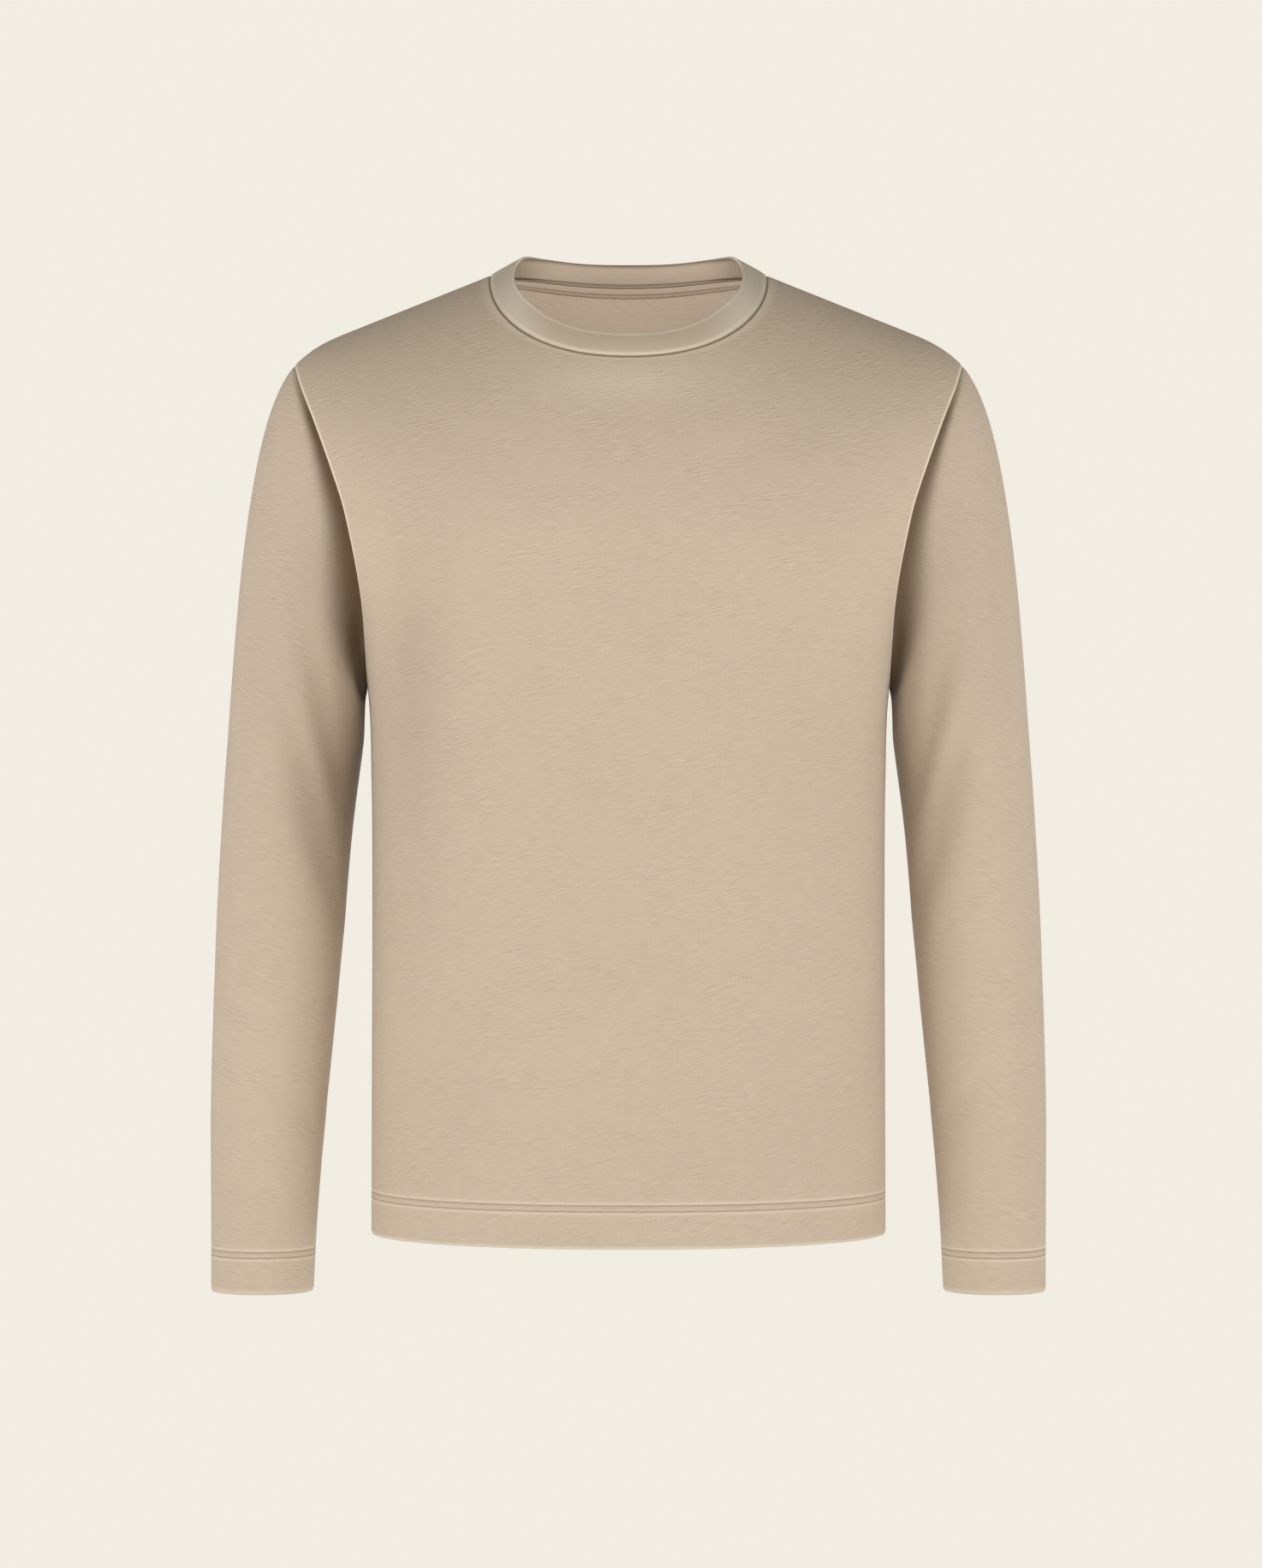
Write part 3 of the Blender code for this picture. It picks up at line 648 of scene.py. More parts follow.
def addWall(piece, thickness):
    # the wall is set inwards from the surface
    wall = piece.modifiers.new("wall", "SOLIDIFY")
    wall.thickness = thickness
    wall.offset = -1.0
    return wall


def addHemmedWall(piece, edgeZ):
    # two layers in the turned hem and one above it
    turn = edgeZ + cut["stitchRows"][1] + cut["turnOver"]
    layers = piece.vertex_groups.new(name="layers")
    for vert in piece.data.vertices:
        layers.add([vert.index], 1.0 if vert.co.z < turn else 0.5, "REPLACE")
    addWall(piece, 2 * cut["wall"]).vertex_group = layers.name


def clothPlaces(points, heightAt, closed=False):
    # across from the middle along the row, and up
    places = []
    for r, row in enumerate(points):
        along = lengthsAlong(row)
        middle = along[-1] / 2 if closed else along[len(along) // 2]
        places.append([(length - middle, heightAt(r, c)) for c, length in enumerate(along)])
    return places


# cloth finishes

clothGrain = {
    # size along and across in repeats a metre, turn in degrees, detail and roughness
    "slubs": ((88.0, 780.0), 10.0, 2.0, 0.5),
    "patches": ((22.0, 50.0), 0.0, 1.0, 0.5),       # where the slubs show
    "nap": ((900.0, 1300.0), 0.0, 1.0, 0.5),
    "slow": ((9.0, 12.6), 20.0, 3.0, 0.55),
    "patchStart": 0.10,
    "patchGain": 1.6,
    "knitPitch": 0.00085,
    "knitWave": {"Distortion": 1.2, "Detail": 1.0, "Detail Scale": 2.0},
    "waveUnit": 0.314,               # the wave repeats at this distance at a scale of 1
    "knitDepth": 0.10,
    "napDepth": 0.16,
    "slowTone": 0.45,
    "slubTone": 2.2,
    "napTone": 0.55,
}


def feed(tree, node, inputs):
    # an input is linked to another node's output, or set to a value or a colour
    for name, value in inputs.items():
        socket = node.inputs[name]
        if isinstance(value, bpy.types.NodeSocket):
            tree.links.new(value, socket)
        else:
            socket.default_value = (*value, 1.0) if socket.type == "RGBA" else value


def addNode(tree, kind, inputs=None, **settings):
    node = tree.nodes.new(kind)
    for name, value in settings.items():
        setattr(node, name, value)
    feed(tree, node, inputs or {})
    return node


def addMath(tree, operation, *values, clamp=False):
    node = addNode(tree, "ShaderNodeMath", dict(enumerate(values)), operation=operation)
    node.use_clamp = clamp
    return node.outputs[0]


def addMix(tree, share, first, second):
    inputs = {"Factor": share, "A": first, "B": second}
    return addNode(tree, "ShaderNodeMix", inputs, data_type="RGBA").outputs["Result"]


def addNoise(tree, place, size, turn, detail, roughness):
    mapping = addNode(tree, "ShaderNodeMapping",
                      {"Vector": place, "Scale": (1 / size[0], 1 / size[1], 1.0),
                       "Rotation": (0.0, 0.0, math.radians(turn))}, vector_type="TEXTURE")
    noise = addNode(tree, "ShaderNodeTexNoise", {"Vector": mapping.outputs[0], "Scale": 1.0,
                                                 "Detail": detail, "Roughness": roughness})
    return noise.outputs[0]


def newGroup(name, inputs, outputs):
    group = bpy.data.node_groups.new(name, "ShaderNodeTree")
    for direction, sockets in (("INPUT", inputs), ("OUTPUT", outputs)):
        for socketName, kind in sockets.items():
            group.interface.new_socket(name=socketName, in_out=direction, socket_type=kind)
    return group, addNode(group, "NodeGroupInput").outputs


def jerseyGroup():
    # short slubs in patches, a fine knit and a slow change of tone, from the cloth's own places
    group, given = newGroup(
        "jerseyGrain",
        {"Place": "NodeSocketVector", "Slubs": "NodeSocketFloat", "Knit": "NodeSocketFloat"},
        {"Height": "NodeSocketFloat", "Tone": "NodeSocketFloat"})
    slub, patch, nap, slow = (addNoise(group, given["Place"], *clothGrain[name])
                              for name in ("slubs", "patches", "nap", "slow"))
    patch = addMath(group, "SUBTRACT", patch, clothGrain["patchStart"])
    patch = addMath(group, "MULTIPLY", patch, clothGrain["patchGain"], clamp=True)
    slub = addMath(group, "MULTIPLY", addMath(group, "SUBTRACT", slub, 0.5), patch)
    slub = addMath(group, "MULTIPLY", slub, given["Slubs"])
    repeats = clothGrain["waveUnit"] / clothGrain["knitPitch"]
    wave = addNode(group, "ShaderNodeTexWave",
                   {"Vector": given["Place"], "Scale": repeats, **clothGrain["knitWave"]},
                   wave_type="BANDS", bands_direction="X")
    knit = addMath(group, "MULTIPLY", wave.outputs["Fac"], clothGrain["knitDepth"])
    knit = addMath(group, "MULTIPLY_ADD", nap, clothGrain["napDepth"], knit)
    height = addMath(group, "MULTIPLY_ADD", knit, given["Knit"], slub)
    tone = addMath(group, "MULTIPLY", slow, clothGrain["slowTone"])
    tone = addMath(group, "MULTIPLY_ADD", slub, clothGrain["slubTone"], tone)
    tone = addMath(group, "MULTIPLY_ADD", nap, clothGrain["napTone"], tone, clamp=True)
    addNode(group, "NodeGroupOutput", {"Height": height, "Tone": tone})
    return group


def paintedShadingGroup():
    # painted shade in grooves, hollows and creases, and a painted highlight on ridges and edges, as
    # far as the cloth's painted shade and painted highlight values say
    group, given = newGroup(
        "paintedShading",
        {"Cloth": "NodeSocketColor", "Painted Shade Colour": "NodeSocketColor",
         "Painted Highlight Colour": "NodeSocketColor", "Painted Shade": "NodeSocketFloat", "Painted Highlight": "NodeSocketFloat"},
        {"Shaded": "NodeSocketColor"})
    shaded = addMix(group, given["Painted Shade"], given["Cloth"], given["Painted Shade Colour"])
    shaded = addMix(group, given["Painted Highlight"], shaded, given["Painted Highlight Colour"])
    addNode(group, "NodeGroupOutput", {"Shaded": shaded})
    return group


# each finish: the light and dark ends of the cloth's own tone, the colour of its painted shade, the
# colour of its painted highlight, and how strong its slubs and knit are
finishes = {
    "jerseySoft": {"light": (0.700, 0.597, 0.486), "dark": (0.600, 0.503, 0.402),
                   "paintedShade": (0.120, 0.078, 0.040), "paintedHighlight": (0.970, 0.870, 0.730),
                   "slubs": 1.0, "knit": 1.0},
    "bandFolded": {"light": (0.740, 0.630, 0.514), "dark": (0.650, 0.544, 0.434),
                   "paintedShade": (0.110, 0.072, 0.038), "paintedHighlight": (1.000, 0.930, 0.800),
                   "slubs": 0.45, "knit": 0.8},
    "tapeStitched": {"light": (0.660, 0.558, 0.449), "dark": (0.560, 0.464, 0.365),
                     "paintedShade": (0.100, 0.066, 0.034), "paintedHighlight": (0.900, 0.800, 0.660),
                     "slubs": 0.3, "knit": 1.2},
}

# soft, a little napped cloth and its relief
surface = {"Roughness": 0.86, "Specular IOR Level": 0.25, "Sheen Weight": 0.22,
           "Sheen Roughness": 0.35}
relief = {"Strength": 0.80, "Distance": 0.0008}


def newMaterial(name):
    material = bpy.data.materials.new(name)
    material.use_nodes = True
    return material, material.node_tree, material.node_tree.nodes["Principled BSDF"]


def clothMaterial(name, grainNodes, paintedShadingNodes):
    finish = finishes[name]
    material, tree, shader = newMaterial(name)
    place = addNode(tree, "ShaderNodeUVMap", uv_map="cloth").outputs[0]
    paintedShade, paintedHighlight = (addNode(tree, "ShaderNodeAttribute", attribute_name=layer).outputs["Fac"]
                    for layer in ("paintedShade", "paintedHighlight"))
    grain = addNode(tree, "ShaderNodeGroup", node_tree=grainNodes)
    feed(tree, grain, {"Place": place, "Slubs": finish["slubs"], "Knit": finish["knit"]})
    cloth = addMix(tree, grain.outputs["Tone"], finish["dark"], finish["light"])
    edge = addNode(tree, "ShaderNodeGroup", node_tree=paintedShadingNodes)
    feed(tree, edge, {"Cloth": cloth, "Painted Shade Colour": finish["paintedShade"],
                      "Painted Highlight Colour": finish["paintedHighlight"], "Painted Shade": paintedShade, "Painted Highlight": paintedHighlight})
    bump = addNode(tree, "ShaderNodeBump", {"Height": grain.outputs["Height"], **relief})
    feed(tree, shader, {"Base Color": edge.outputs["Shaded"], "Normal": bump.outputs["Normal"],
                        **surface})
    return material


thread = {
    "dark": (0.52, 0.42, 0.30),
    "light": (0.70, 0.59, 0.45),
    "roughness": 0.60,
    "ply": ((900.0, 900.0), 0.0, 2.0, 0.6),    # as the rows of clothGrain
}


def threadMaterial():
    material, tree, shader = newMaterial("sewingThread")
    place = addNode(tree, "ShaderNodeTexCoord").outputs["Object"]
    tone = addMix(tree, addNoise(tree, place, *thread["ply"]), thread["dark"], thread["light"])
    feed(tree, shader, {"Base Color": tone, "Roughness": thread["roughness"]})
    return material


jerseyGrain = jerseyGroup()
paintedShading = paintedShadingGroup()
jerseySoft = clothMaterial("jerseySoft", jerseyGrain, paintedShading)
bandFolded = clothMaterial("bandFolded", jerseyGrain, paintedShading)
tapeStitched = clothMaterial("tapeStitched", jerseyGrain, paintedShading)
sewingThread = threadMaterial()
print("scene: finishes ready")


# front and back

def sideShade(point):
    # the soft shade down the wearer's right of the front, deepest a little under the armhole
    shade = torso["sideShade"]
    down = bellOver(point.z - shade["z"], shade["above"], shade["below"])
    return shade["depth"] * down * bell((point.x - shade["x"]) / shade["width"])


def neckHighlight(point):
    # a painted highlight on the front under the neckband, standing in for its slight rise over the
    # seam allowance
    ridge = torso["neckHighlight"]
    up = bell((point.z - ridge["z"]) / ridge["height"])
    return ridge["paintedHighlight"] * up * bell(point.x / ridge["halfWidth"])


def panelShade(side, point):
    shade = seamShade(point.z - cut["hemZ"])
    return shade + sideShade(point) - neckHighlight(point) if side == "front" else shade


def buildPanel(name, side, node):
    points, first = panelRows(side)
    ordered = spreadEnds(points, first)
    if side == "back":
        ordered = [row[::-1] for row in ordered]     # so that the faces point outwards
    facings = gridFacings(ordered, False)
    shaped = pressed(ordered, facings,
                     lambda r, c: cut["grooveDepth"] * grooveAt(ordered[r][c].z - cut["hemZ"])
                     if r <= first else 0.0)
    places = clothPlaces(ordered, lambda r, c: ordered[r][c].z)
    shades = [[panelShade(side, point) for point in row] for row in ordered]
    bm = clothGrid(shaped, places, shades, False)
    armholeTop = shoulderLine(cut["shoulderX"])

    def kindOf(spot):
        if spot.z < cut["hemZ"] + torso["hemReach"]:
            return torso["edges"]["hem"]
        if spot.z < cut["underarmZ"]:
            return torso["edges"]["side"]
        if spot.z < armholeTop and abs(spot.x) > cut["neckHalfWidth"]:
            return torso["edges"]["armhole"]
        if abs(spot.x) > cut["neckHalfWidth"]:
            return torso["edges"]["shoulder"]
        return torso["edges"]["neckline"]

    rollEdges(bm, torso["edgeRings"], kindOf)
    piece = clothPiece(name, bm, jerseySoft)
    addHemmedWall(piece, cut["hemZ"])
    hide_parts(node)
    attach(piece, "root")
    return piece, points, first, shaped, facings


frontPanel, frontPoints, underarmRow, frontShaped, frontFacings = buildPanel(
    "frontPanel", "front", "front_panel")
backPanel, backPoints, underarmRow, backShaped, backFacings = buildPanel(
    "backPanel", "back", "back_panel")
print("scene: front and back")


# sleeves

def mirrored(rows):
    return [[Vector((-point.x, point.y, point.z)) for point in row] for row in rows]


def sleeveDepth(spot, place, away):
    # the hollow beside the armhole seam, the needle grooves and the rolled edges
    reach = away / sleeve["hollowWidth"]
    depth = valueAt(sleeve["start"], "hollow", place) * reach * math.exp(1 - reach)
    depth += sleeve["seamRoll"] * bell(away / sleeve["seamRollWidth"])
    height = spot.z - cut["cuffZ"]
    depth += cut["grooveDepth"] * grooveAt(height)
    return depth + sleeve["hemRoll"] * bell(max(height, 0.0) / sleeve["hemRollWidth"])


def sleeveShade(spot, place, toSeam, look):
    # painted shade in the hollow and on the inner side under the arm, a painted highlight at the
    # cuff's edge
    reach = toSeam / (look["width"] * valueAt(sleeve["start"], "dark", place))
    beside = bell(reach * reach) + sleeve["shadeTail"] * bell(reach / 2)
    beside *= min(1.0, valueAt(sleeve["start"], "hollow", place) / sleeve["fullShadeFrom"])
    under = bell((place - 1) / sleeve["innerWidth"])
    under *= bellOver(spot.z - sleeve["innerZ"], sleeve["innerAbove"], sleeve["innerBelow"])
    height = spot.z - cut["cuffZ"]
    shade = seamShade(height) + look["hollow"] * beside + look["inner"] * under
    paintedHighlight = bell((height - sleeve["cuffEdgeHighlightHeight"]) / sleeve["cuffEdgeHighlightWidth"])
    return min(1.0, shade - sleeve["cuffEdgeHighlight"] * paintedHighlight)


def sleeveGrid(rings, arounds, facings, look):
    # the rings, pressed in, with a first one under the panels, and their shades
    steps = sleeve["seamSteps"]
    seam = treeOf([before.lerp(after, k / steps) for before, after in zip(rings[0], rings[0][1:])
                   for k in range(steps)])
    places = [seamPlace(around) for around in arounds]
    aways = [lengthsAlong(line) for line in zip(*rings)]
    shaped = pressed(rings, facings, lambda r, c: sleeveDepth(rings[r][c], places[c], aways[c][r]))
    shades = [[sleeveShade(spot, place, seam.find(spot)[2], look) for spot, place in zip(ring, places)]
              for ring in rings]
    under = []
    for c in range(len(arounds)):
        into = (rings[0][c] - rings[2][c]).normalized()
        under.append(rings[0][c] + into * sleeve["tuckUnder"] - facings[0][c] * sleeve["tuckDepth"])
    return [under] + shaped, [shades[0]] + shades


def buildSleeve(name, node, rings, arounds, flip, look):
    if flip:
        rings = [ring[::-1] for ring in mirrored(rings)]
        arounds = arounds[::-1]
    facings = gridFacings(rings, True)
    shaped, shades = sleeveGrid(rings, arounds, facings, look)
    places = clothPlaces(shaped, lambda r, c: shaped[r][c].z, True)
    piece = clothPiece(name, clothGrid(shaped, places, shades, True), jerseySoft)
    addHemmedWall(piece, cut["cuffZ"])
    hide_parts(node)
    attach(piece, "root")
    return piece, shaped, facings


loop = armholeLoop(frontPoints, backPoints, underarmRow)
sleeveRings, sleeveArounds = sleeveRows(loop)
# how strong and how wide each sleeve's painted shade is in the hollow beside the armhole, and how
# strong on the inner side under the arm
leftSleeve, leftShaped, leftFacings = buildSleeve(
    "sleeveLeft", "sleeve_left", sleeveRings, sleeveArounds, False,
    {"hollow": 0.84, "width": 0.86, "inner": 0.18})
rightSleeve, rightShaped, rightFacings = buildSleeve(
    "sleeveRight", "sleeve_right", sleeveRings, sleeveArounds, True,
    {"hollow": 0.90, "width": 1.00, "inner": 0.55})
print("scene: sleeves")


# neckband

band = {
    "halfWidth": 0.0812,
    "power": 2.3,
    "twist": 18.0,                # degrees by which the fold's side points are turned back
    "crown": 0.0012,              # how far it bows out half way up
    "centreY": -0.0150,
    "thickness": 0.0020,
    "seamTuck": 0.0009,
    "tongue": 0.075,              # the share of its height that lies under the panels
    "tongueDepth": 0.0013,
    "shares": (0.0, 0.03, 0.07, 0.13, 0.22, 0.32, 0.43, 0.54, 0.65, 0.75, 0.84, 0.91, 0.955),
    "foldTurns": (30, 60, 90, 120, 150),
    # places and widths in shares of the height; painted shade above 0, painted highlight below it
    "seamWidth": 0.035,
    "outerShades": ((0.0, 0.035, 0.90), (0.10, 0.045, -0.75), (0.96, 0.06, -0.90)),
    "foldShades": (-0.9, -0.9, 0.7, 0.7, 0.7),
    "innerShades": ((0.02, 0.04, 0.60), (0.96, 0.09, 0.50)),
    # painted shade over all of the inner face
    "insideShade": 0.14,
    "sidesFrom": 0.1,
    "sideX": 0.085,               # where it lies over the shoulders
    "sideWidth": 0.022,
    "outerSideHighlight": -0.75,          # a painted highlight there on the outer face
    "innerSideShade": 0.45,           # and painted shade there on the inner face
    "edge": shortTable(
        ("y", "z"),
        (-0.0866, -0.0504),
        (-0.0580, -0.0255),
        (-0.0300, -0.0076),
        (0.0000, 0.0072),
        (0.0200, 0.0165),
        (0.0400, 0.0170),
        (0.0580, 0.0146)),
}


def bandEdge(around):
    # the folded inner edge; around runs with the neckline
    angle = 2 * math.pi * around
    angle -= math.radians(band["twist"]) * math.cos(angle)
    ahead, behind = band["edge"]["rows"][0][0], band["edge"]["rows"][-1][0]
    x = band["halfWidth"] * signedPower(math.cos(angle), 2 / band["power"])
    y = (ahead + behind + (ahead - behind) * signedPower(math.sin(angle), 2 / band["power"])) / 2
    return Vector((x, y, valueAt(band["edge"], "z", y)))


def bandShade(shades, share):
    return sum(strength * bell((share - place) / width) for place, width, strength in shades)


def bandShades(shaped, shares):
    # painted shade at the seam and inside, a painted highlight on the ridge above the seam and on the
    # fold
    foldEnd = len(shares) + len(band["foldShades"])
    rows = []
    for r, row in enumerate(shaped):
        if r < len(shares):
            shade = bandShade(band["outerShades"], shares[r])
            sides = band["outerSideHighlight"] * (shares[r] > band["sidesFrom"])
        elif r < foldEnd:
            shade = band["foldShades"][r - len(shares)]
            sides = band["outerSideHighlight"]
        else:
            shade = bandShade(band["innerShades"], shares[len(shaped) - r]) + band["insideShade"]
            sides = band["innerSideShade"]
        reaches = [(abs(point.x) - band["sideX"]) / band["sideWidth"] for point in row]
        rows.append([min(1.0, max(-1.0, shade + sides * bell(reach))) for reach in reaches])
    return rows


def bandRows(neckline, shares):
    # a share of 0 lies on the neckline and 1 on the fold, and the band bows out between them
    count = len(neckline)
    rows = []
    for share in shares:
        row = []
        for j in [(count - c) % count for c in range(count + 1)]:
            away = Vector((neckline[j].x, neckline[j].y - band["centreY"], 0.0)).normalized()
            bow = away * band["crown"] * 4 * max(0.0, share) * (1 - share)
            row.append(neckline[j].lerp(bandEdge(j / count), share) + bow)
        rows.append(row)
    return rows


def bandFold(rows, facings):
    # half a turn from the outer face to the inner face
    radius = band["thickness"] / 2
    fold = []
    for turn in [math.radians(degrees) for degrees in band["foldTurns"]]:
        ring = []
        for top, below, facing in zip(rows[-1], rows[-2], facings[-1]):
            beyond = (top - below).normalized()
            ring.append(top - facing * radius + facing * radius * math.cos(turn)
                        + beyond * radius * math.sin(turn))
        fold.append(ring)
    return fold


def buildBand(neckline):
    # outer face from the seam to the fold, round the fold, and the inner face back down
    shares = [-band["tongue"], *band["shares"]]
    rows = bandRows(neckline, shares)
    facings = gridFacings(rows, True)
    outer = pressed(rows, facings, lambda r, c: band["seamTuck"] * bell(shares[r] / band["seamWidth"])
                    if r else band["tongueDepth"])
    inner = pressed(rows, facings, lambda r, c: band["thickness"])[1:]
    shaped = outer + bandFold(rows, facings) + inner[::-1]
    heights = lengthsAlong([row[0] for row in shaped])
    places = [[(length, height) for length in lengthsAlong(row)]
              for row, height in zip(shaped, heights)]
    bm = clothGrid(shaped, places, bandShades(shaped, shares), True)
    bottom = [edge for edge in bm.edges if edge.is_boundary]
    bmesh.ops.bridge_loops(bm, edges=bottom)
    piece = clothPiece("neckBand", bm, bandFolded)
    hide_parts("neckband")
    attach(piece, "root")
    return piece


neckline = frontPoints[-1][:0:-1] + backPoints[-1][:-1]
neckBand = buildBand(neckline)
print("scene: neckband")


# tape inside the back of the neck

tape = {
    "gap": 0.0003,
    "rows": (0.0005, 0.0020, 0.0040, 0.0060, 0.0068, 0.0076, 0.0086, 0.0096, 0.0104, 0.0110),
    "needleRows": (0.0068, 0.0104),
    "needleHalfWidth": 0.0006,
    "needleDepth": 0.00035,
    # painted shade in the needle grooves, and the tape darker between the two rows
    "needleShade": 1.00,
    "betweenDark": 0.22,
    "thickness": 0.0008,
}


def buildTape():
    # laid along the inside of the back, a little way under its neckline
    panel = [row[::-1] for row in backPoints]     # so that the facings point into the garment
    rows = []
    for distance in tape["rows"]:
        row = []
        for c in range(len(panel[0])):
            left = distance
            r = len(panel) - 1
            while r > 1 and (panel[r][c] - panel[r - 1][c]).length < left:
                left -= (panel[r][c] - panel[r - 1][c]).length
                r -= 1
            step = panel[r - 1][c] - panel[r][c]
            row.append(panel[r][c] + step * (left / step.length))
        rows.append(row)
    facings = gridFacings(rows, False)
    inset = cut["wall"] + tape["gap"] + tape["thickness"]

    def depthAt(r, c):
        nearest = min(abs(tape["rows"][r] - row) for row in tape["needleRows"])
        return -inset + tape["needleDepth"] * max(0.0, 1 - nearest / tape["needleHalfWidth"])

    shaped = pressed(rows, facings, depthAt)
    shades = []
    for distance, row in zip(tape["rows"], rows):
        shade = tape["betweenDark"] if distance > tape["needleRows"][0] else 0.0
        if distance in tape["needleRows"]:
            shade = tape["needleShade"]
        shades.append([shade] * len(row))
    places = clothPlaces(shaped, lambda r, c: -tape["rows"][r])
    piece = clothPiece("neckTape", clothGrid(shaped, places, shades, False), tapeStitched)
    addWall(piece, tape["thickness"])
    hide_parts("neck_tape")
    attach(piece, "root")
    return piece, shaped, facings


neckTape, tapeShaped, tapeFacings = buildTape()
print("scene: neck tape")


# sewing

sewing = {
    "pitch": 0.0019,
    "length": 0.0014,
    "lengthRange": (0.85, 1.08),
    "radius": 0.00022,
    "flatness": 0.8,
    "lift": 0.00008,
    "seed": 7,
    "endGap": 0.0030,             # bare cloth between a run of stitches and a panel's edge
}


def runOfStitches(bm, line, facings, dice):
    # small stitches set end to end along a line of points
    walked = 0.0
    nextStitch = sewing["endGap"]
    last = lengthsAlong(line)[-1] - sewing["endGap"]
    for k in range(len(line) - 1):
        step = line[k + 1] - line[k]
        while nextStitch <= min(last, walked + step.length):
            share = (nextStitch - walked) / step.length
            facing = facings[k].lerp(facings[k + 1], share).normalized()
            along = (step - facing * step.dot(facing)).normalized()
            spot = line[k].lerp(line[k + 1], share) + facing * sewing["lift"]
            half = sewing["length"] / 2 * dice.uniform(*sewing["lengthRange"])
            size = (sewing["radius"], sewing["radius"] * sewing["flatness"], half, 1.0)
            turn = Matrix((facing.cross(along), facing, along)).transposed().to_4x4()
            place = Matrix.Translation(spot) @ turn @ Matrix.Diagonal(size)
            bmesh.ops.create_uvsphere(bm, u_segments=5, v_segments=4, radius=1.0, matrix=place)
            nextStitch += sewing["pitch"]
        walked += step.length


def stitchPiece(name, runs):
    dice = random.Random(sewing["seed"])
    bm = bmesh.new()
    for line, facings in runs:
        runOfStitches(bm, line, facings, dice)
    bmesh.ops.recalc_face_normals(bm, faces=bm.faces)
    piece = clothPiece(name, bm, sewingThread)
    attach(piece, "root")
    return piece


def needleRuns(shaped, facings, edgeZ):
    # the two rows of a grid that lie at the needle heights
    runs = []
    for row in cut["stitchRows"]:
        r = min(range(len(facings)), key=lambda i: abs(shaped[i][0].z - edgeZ - row))
        runs.append((shaped[r], facings[r]))
    return runs


hemStitches = stitchPiece("hemStitches", needleRuns(frontShaped, frontFacings, cut["hemZ"])
                          + needleRuns(backShaped, backFacings, cut["hemZ"]))
cuffStitchesLeft = stitchPiece("cuffStitchesLeft",
                               needleRuns(leftShaped[1:], leftFacings, cut["cuffZ"]))
cuffStitchesRight = stitchPiece("cuffStitchesRight",
                                needleRuns(rightShaped[1:], rightFacings, cut["cuffZ"]))


def tapeRuns():
    # the two needle rows, and a zigzag from one to the other
    needle = [tape["rows"].index(row) for row in tape["needleRows"]]
    zigzag = [(needle[c % 2], c) for c in range(len(tapeShaped[0]))]
    return [(tapeShaped[r], tapeFacings[r]) for r in needle] + [
        ([tapeShaped[r][c] for r, c in zigzag], [tapeFacings[r][c] for r, c in zigzag])]


tapeStitches = stitchPiece("tapeStitches", tapeRuns())
print("scene: sewing")


# floor, light and camera

stage = {
    "floorZ": -1.42,
    "floorRadius": 1.7,
    "floorTint": (0.86, 0.825, 0.75),
    "floorRoughness": 0.9,
    # the floor glows a little, painted light with no lamp behind it, which also lights the cloth
    # softly from below
    "floorGlow": 0.40,
    "backdrop": (0.879, 0.846, 0.760),
    "overhead": (0.150, 0.132, 0.104),      # the dim ceiling of the room
    "around": (0.87, 0.815, 0.725),         # its pale walls
    "aroundStart": -0.02,                   # height of a direction, from level 0 to straight up 1
    "aroundEnd": 0.55,
}

photoCamera = {
    "place": (0.0018, -3.0, -0.3644),
    "film": 36.0,
    "focal": 4890,                # in pixels of the photograph
    "frameHeight": 1832,
}

lamps = {
    # place, aim, size and power
    "leftLamp": ((-2.7, -1.7, -0.30), (0.0, 0.0, -0.38), 1.4, 23.5),
    "rightLamp": ((2.8, -1.6, -0.40), (0.0, 0.0, -0.40), 1.4, 21.5),
    "frontLamp": ((0.1, -3.5, -0.85), (0.0, 0.0, -0.50), 1.8, 16.0),
    "backLamp": ((0.3, 3.3, -0.25), (0.0, 0.0, -0.38), 2.0, 25.0),
    "insideLamp": ((0.0, -0.080, -0.170), (0.0, 0.10, -0.06), 0.10, 0.19),
}

# a soft beam from above onto the neckband and the inside of the back
neckLamp = {
    "place": (0.0, -1.6, 1.30),
    "aim": (0.0, -0.01, -0.035),
    "cone": 6.8,
    "power": 5.6,
    "radius": 0.06,
}


def buildFloor():
    bm = bmesh.new()
    bmesh.ops.create_circle(bm, cap_ends=True, segments=96, radius=stage["floorRadius"],
                            matrix=Matrix.Translation((0.0, 0.0, stage["floorZ"])))
    # pale paint that also glows: painted light that keeps the floor pale and lights the cloth from
    # below
    paint, tree, shader = newMaterial("paleGlowingPaint")
    feed(tree, shader, {"Base Color": stage["floorTint"], "Roughness": stage["floorRoughness"],
                        "Emission Color": stage["floorTint"], "Emission Strength": stage["floorGlow"]})
    floor = meshObject("paleFloor", bm, paint)


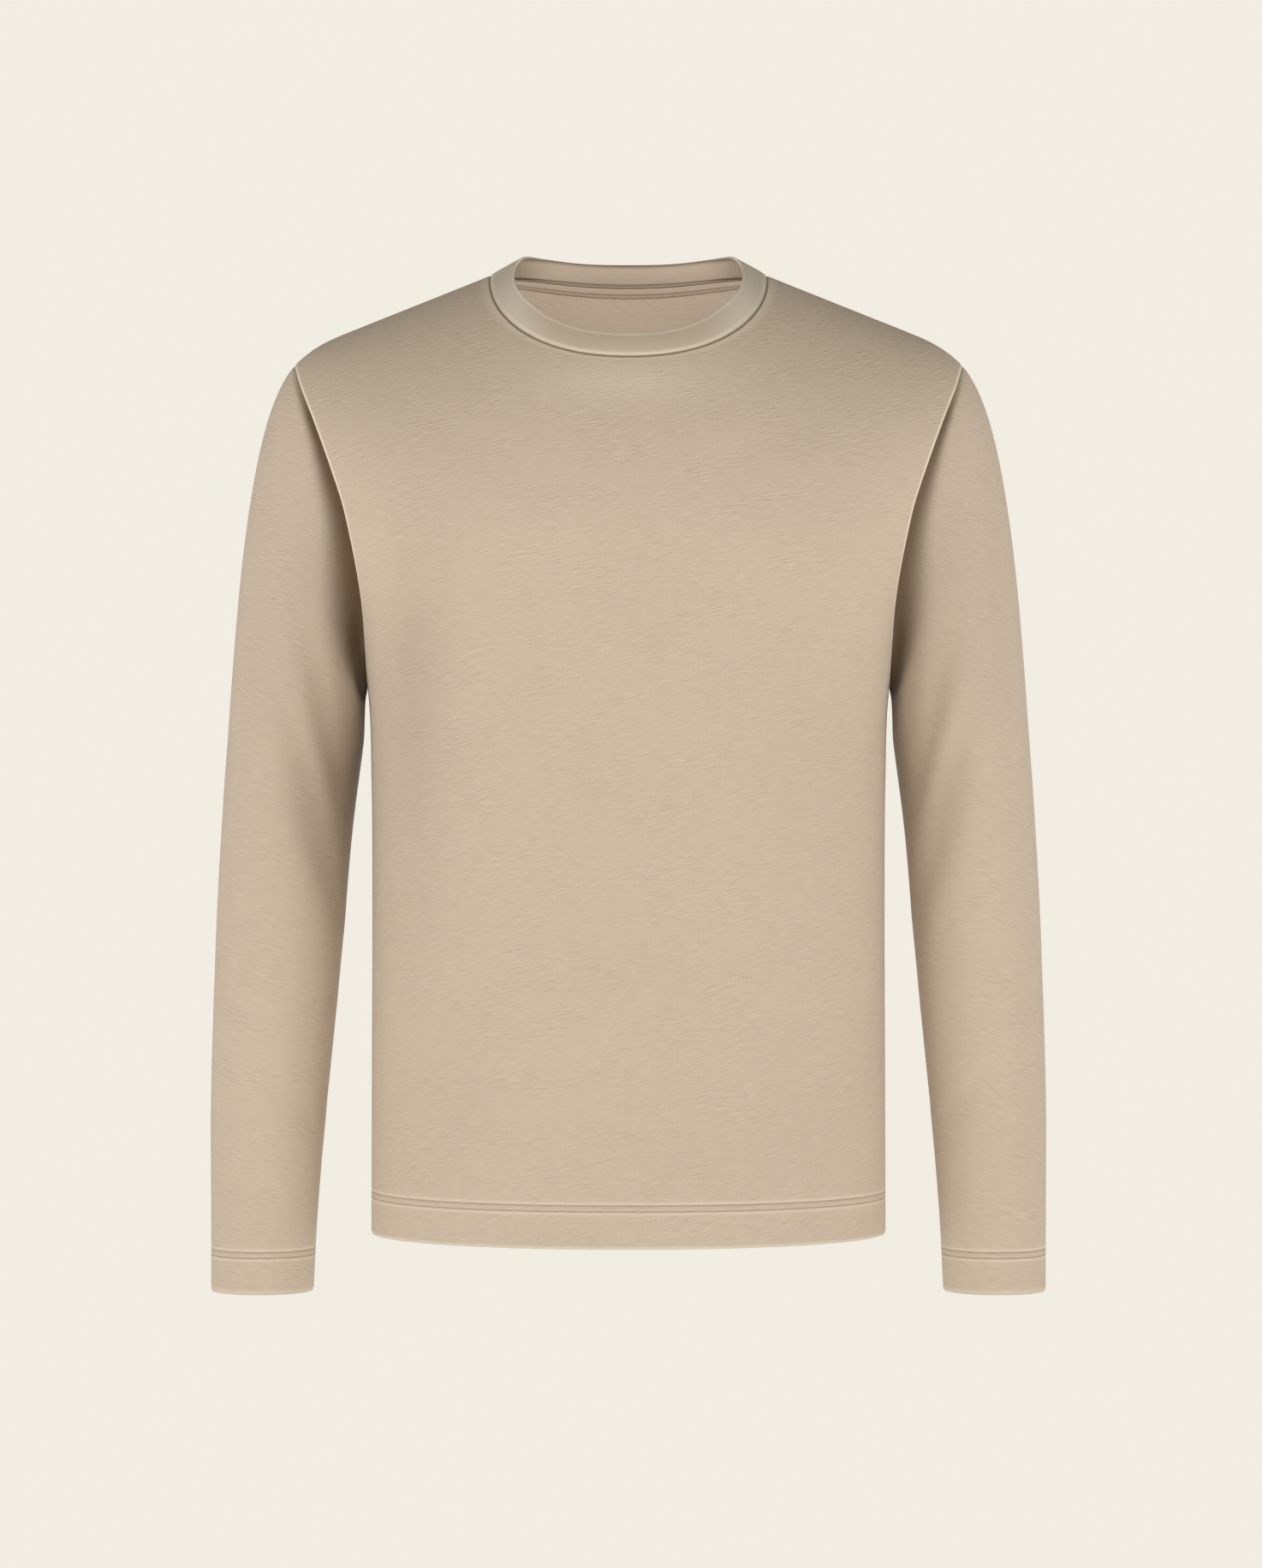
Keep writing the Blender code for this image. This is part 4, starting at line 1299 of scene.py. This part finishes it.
def buildWorld():
    # the pale backdrop is what the camera sees; pale walls and a dim ceiling light the cloth
    world = bpy.data.worlds.new("paleRoom")
    bpy.context.scene.world = world
    world.use_nodes = True
    tree = world.node_tree
    fill = tree.nodes["Background"]
    direction = addNode(tree, "ShaderNodeTexCoord").outputs["Generated"]
    height = addNode(tree, "ShaderNodeSeparateXYZ", {0: direction}).outputs["Z"]
    heights = {"Value": height, "From Min": stage["aroundStart"], "From Max": stage["aroundEnd"]}
    share = addNode(tree, "ShaderNodeMapRange", heights, interpolation_type="SMOOTHSTEP")
    around = addMix(tree, share.outputs["Result"], stage["around"], stage["overhead"])
    feed(tree, fill, {"Color": around})
    seen = addNode(tree, "ShaderNodeBackground", {"Color": stage["backdrop"]})
    path = addNode(tree, "ShaderNodeLightPath").outputs["Is Camera Ray"]
    mix = addNode(tree, "ShaderNodeMixShader", {0: path, 1: fill.outputs[0], 2: seen.outputs[0]})
    feed(tree, tree.nodes["World Output"], {"Surface": mix.outputs[0]})


def buildLamp(name, kind, place, aim, power):
    light = bpy.data.lights.new(name, kind)
    light.energy = power
    lamp = linkObject(name, light)
    lamp.location = place
    lamp.rotation_mode = "QUATERNION"
    lamp.rotation_quaternion = (Vector(aim) - Vector(place)).to_track_quat("-Z", "Y")
    return light


def buildLamps():
    for name, (place, aim, size, power) in lamps.items():
        buildLamp(name, "AREA", place, aim, power).size = size
    beam = buildLamp("neckLamp", "SPOT", neckLamp["place"], neckLamp["aim"], neckLamp["power"])
    beam.spot_size = math.radians(neckLamp["cone"])
    beam.spot_blend = 1.0
    beam.shadow_soft_size = neckLamp["radius"]


def buildCamera():
    camera = bpy.data.cameras.new("photoCamera")
    camera.sensor_width = photoCamera["film"]
    camera.lens = photoCamera["film"] * photoCamera["focal"] / photoCamera["frameHeight"]
    holder = linkObject("photoCamera", camera)
    holder.location = photoCamera["place"]
    holder.rotation_euler = (math.radians(90), 0.0, 0.0)
    bpy.context.scene.camera = holder


buildFloor()
buildWorld()
buildLamps()
buildCamera()
bpy.context.scene.view_settings.view_transform = "Standard"
print("scene: floor, light and camera")
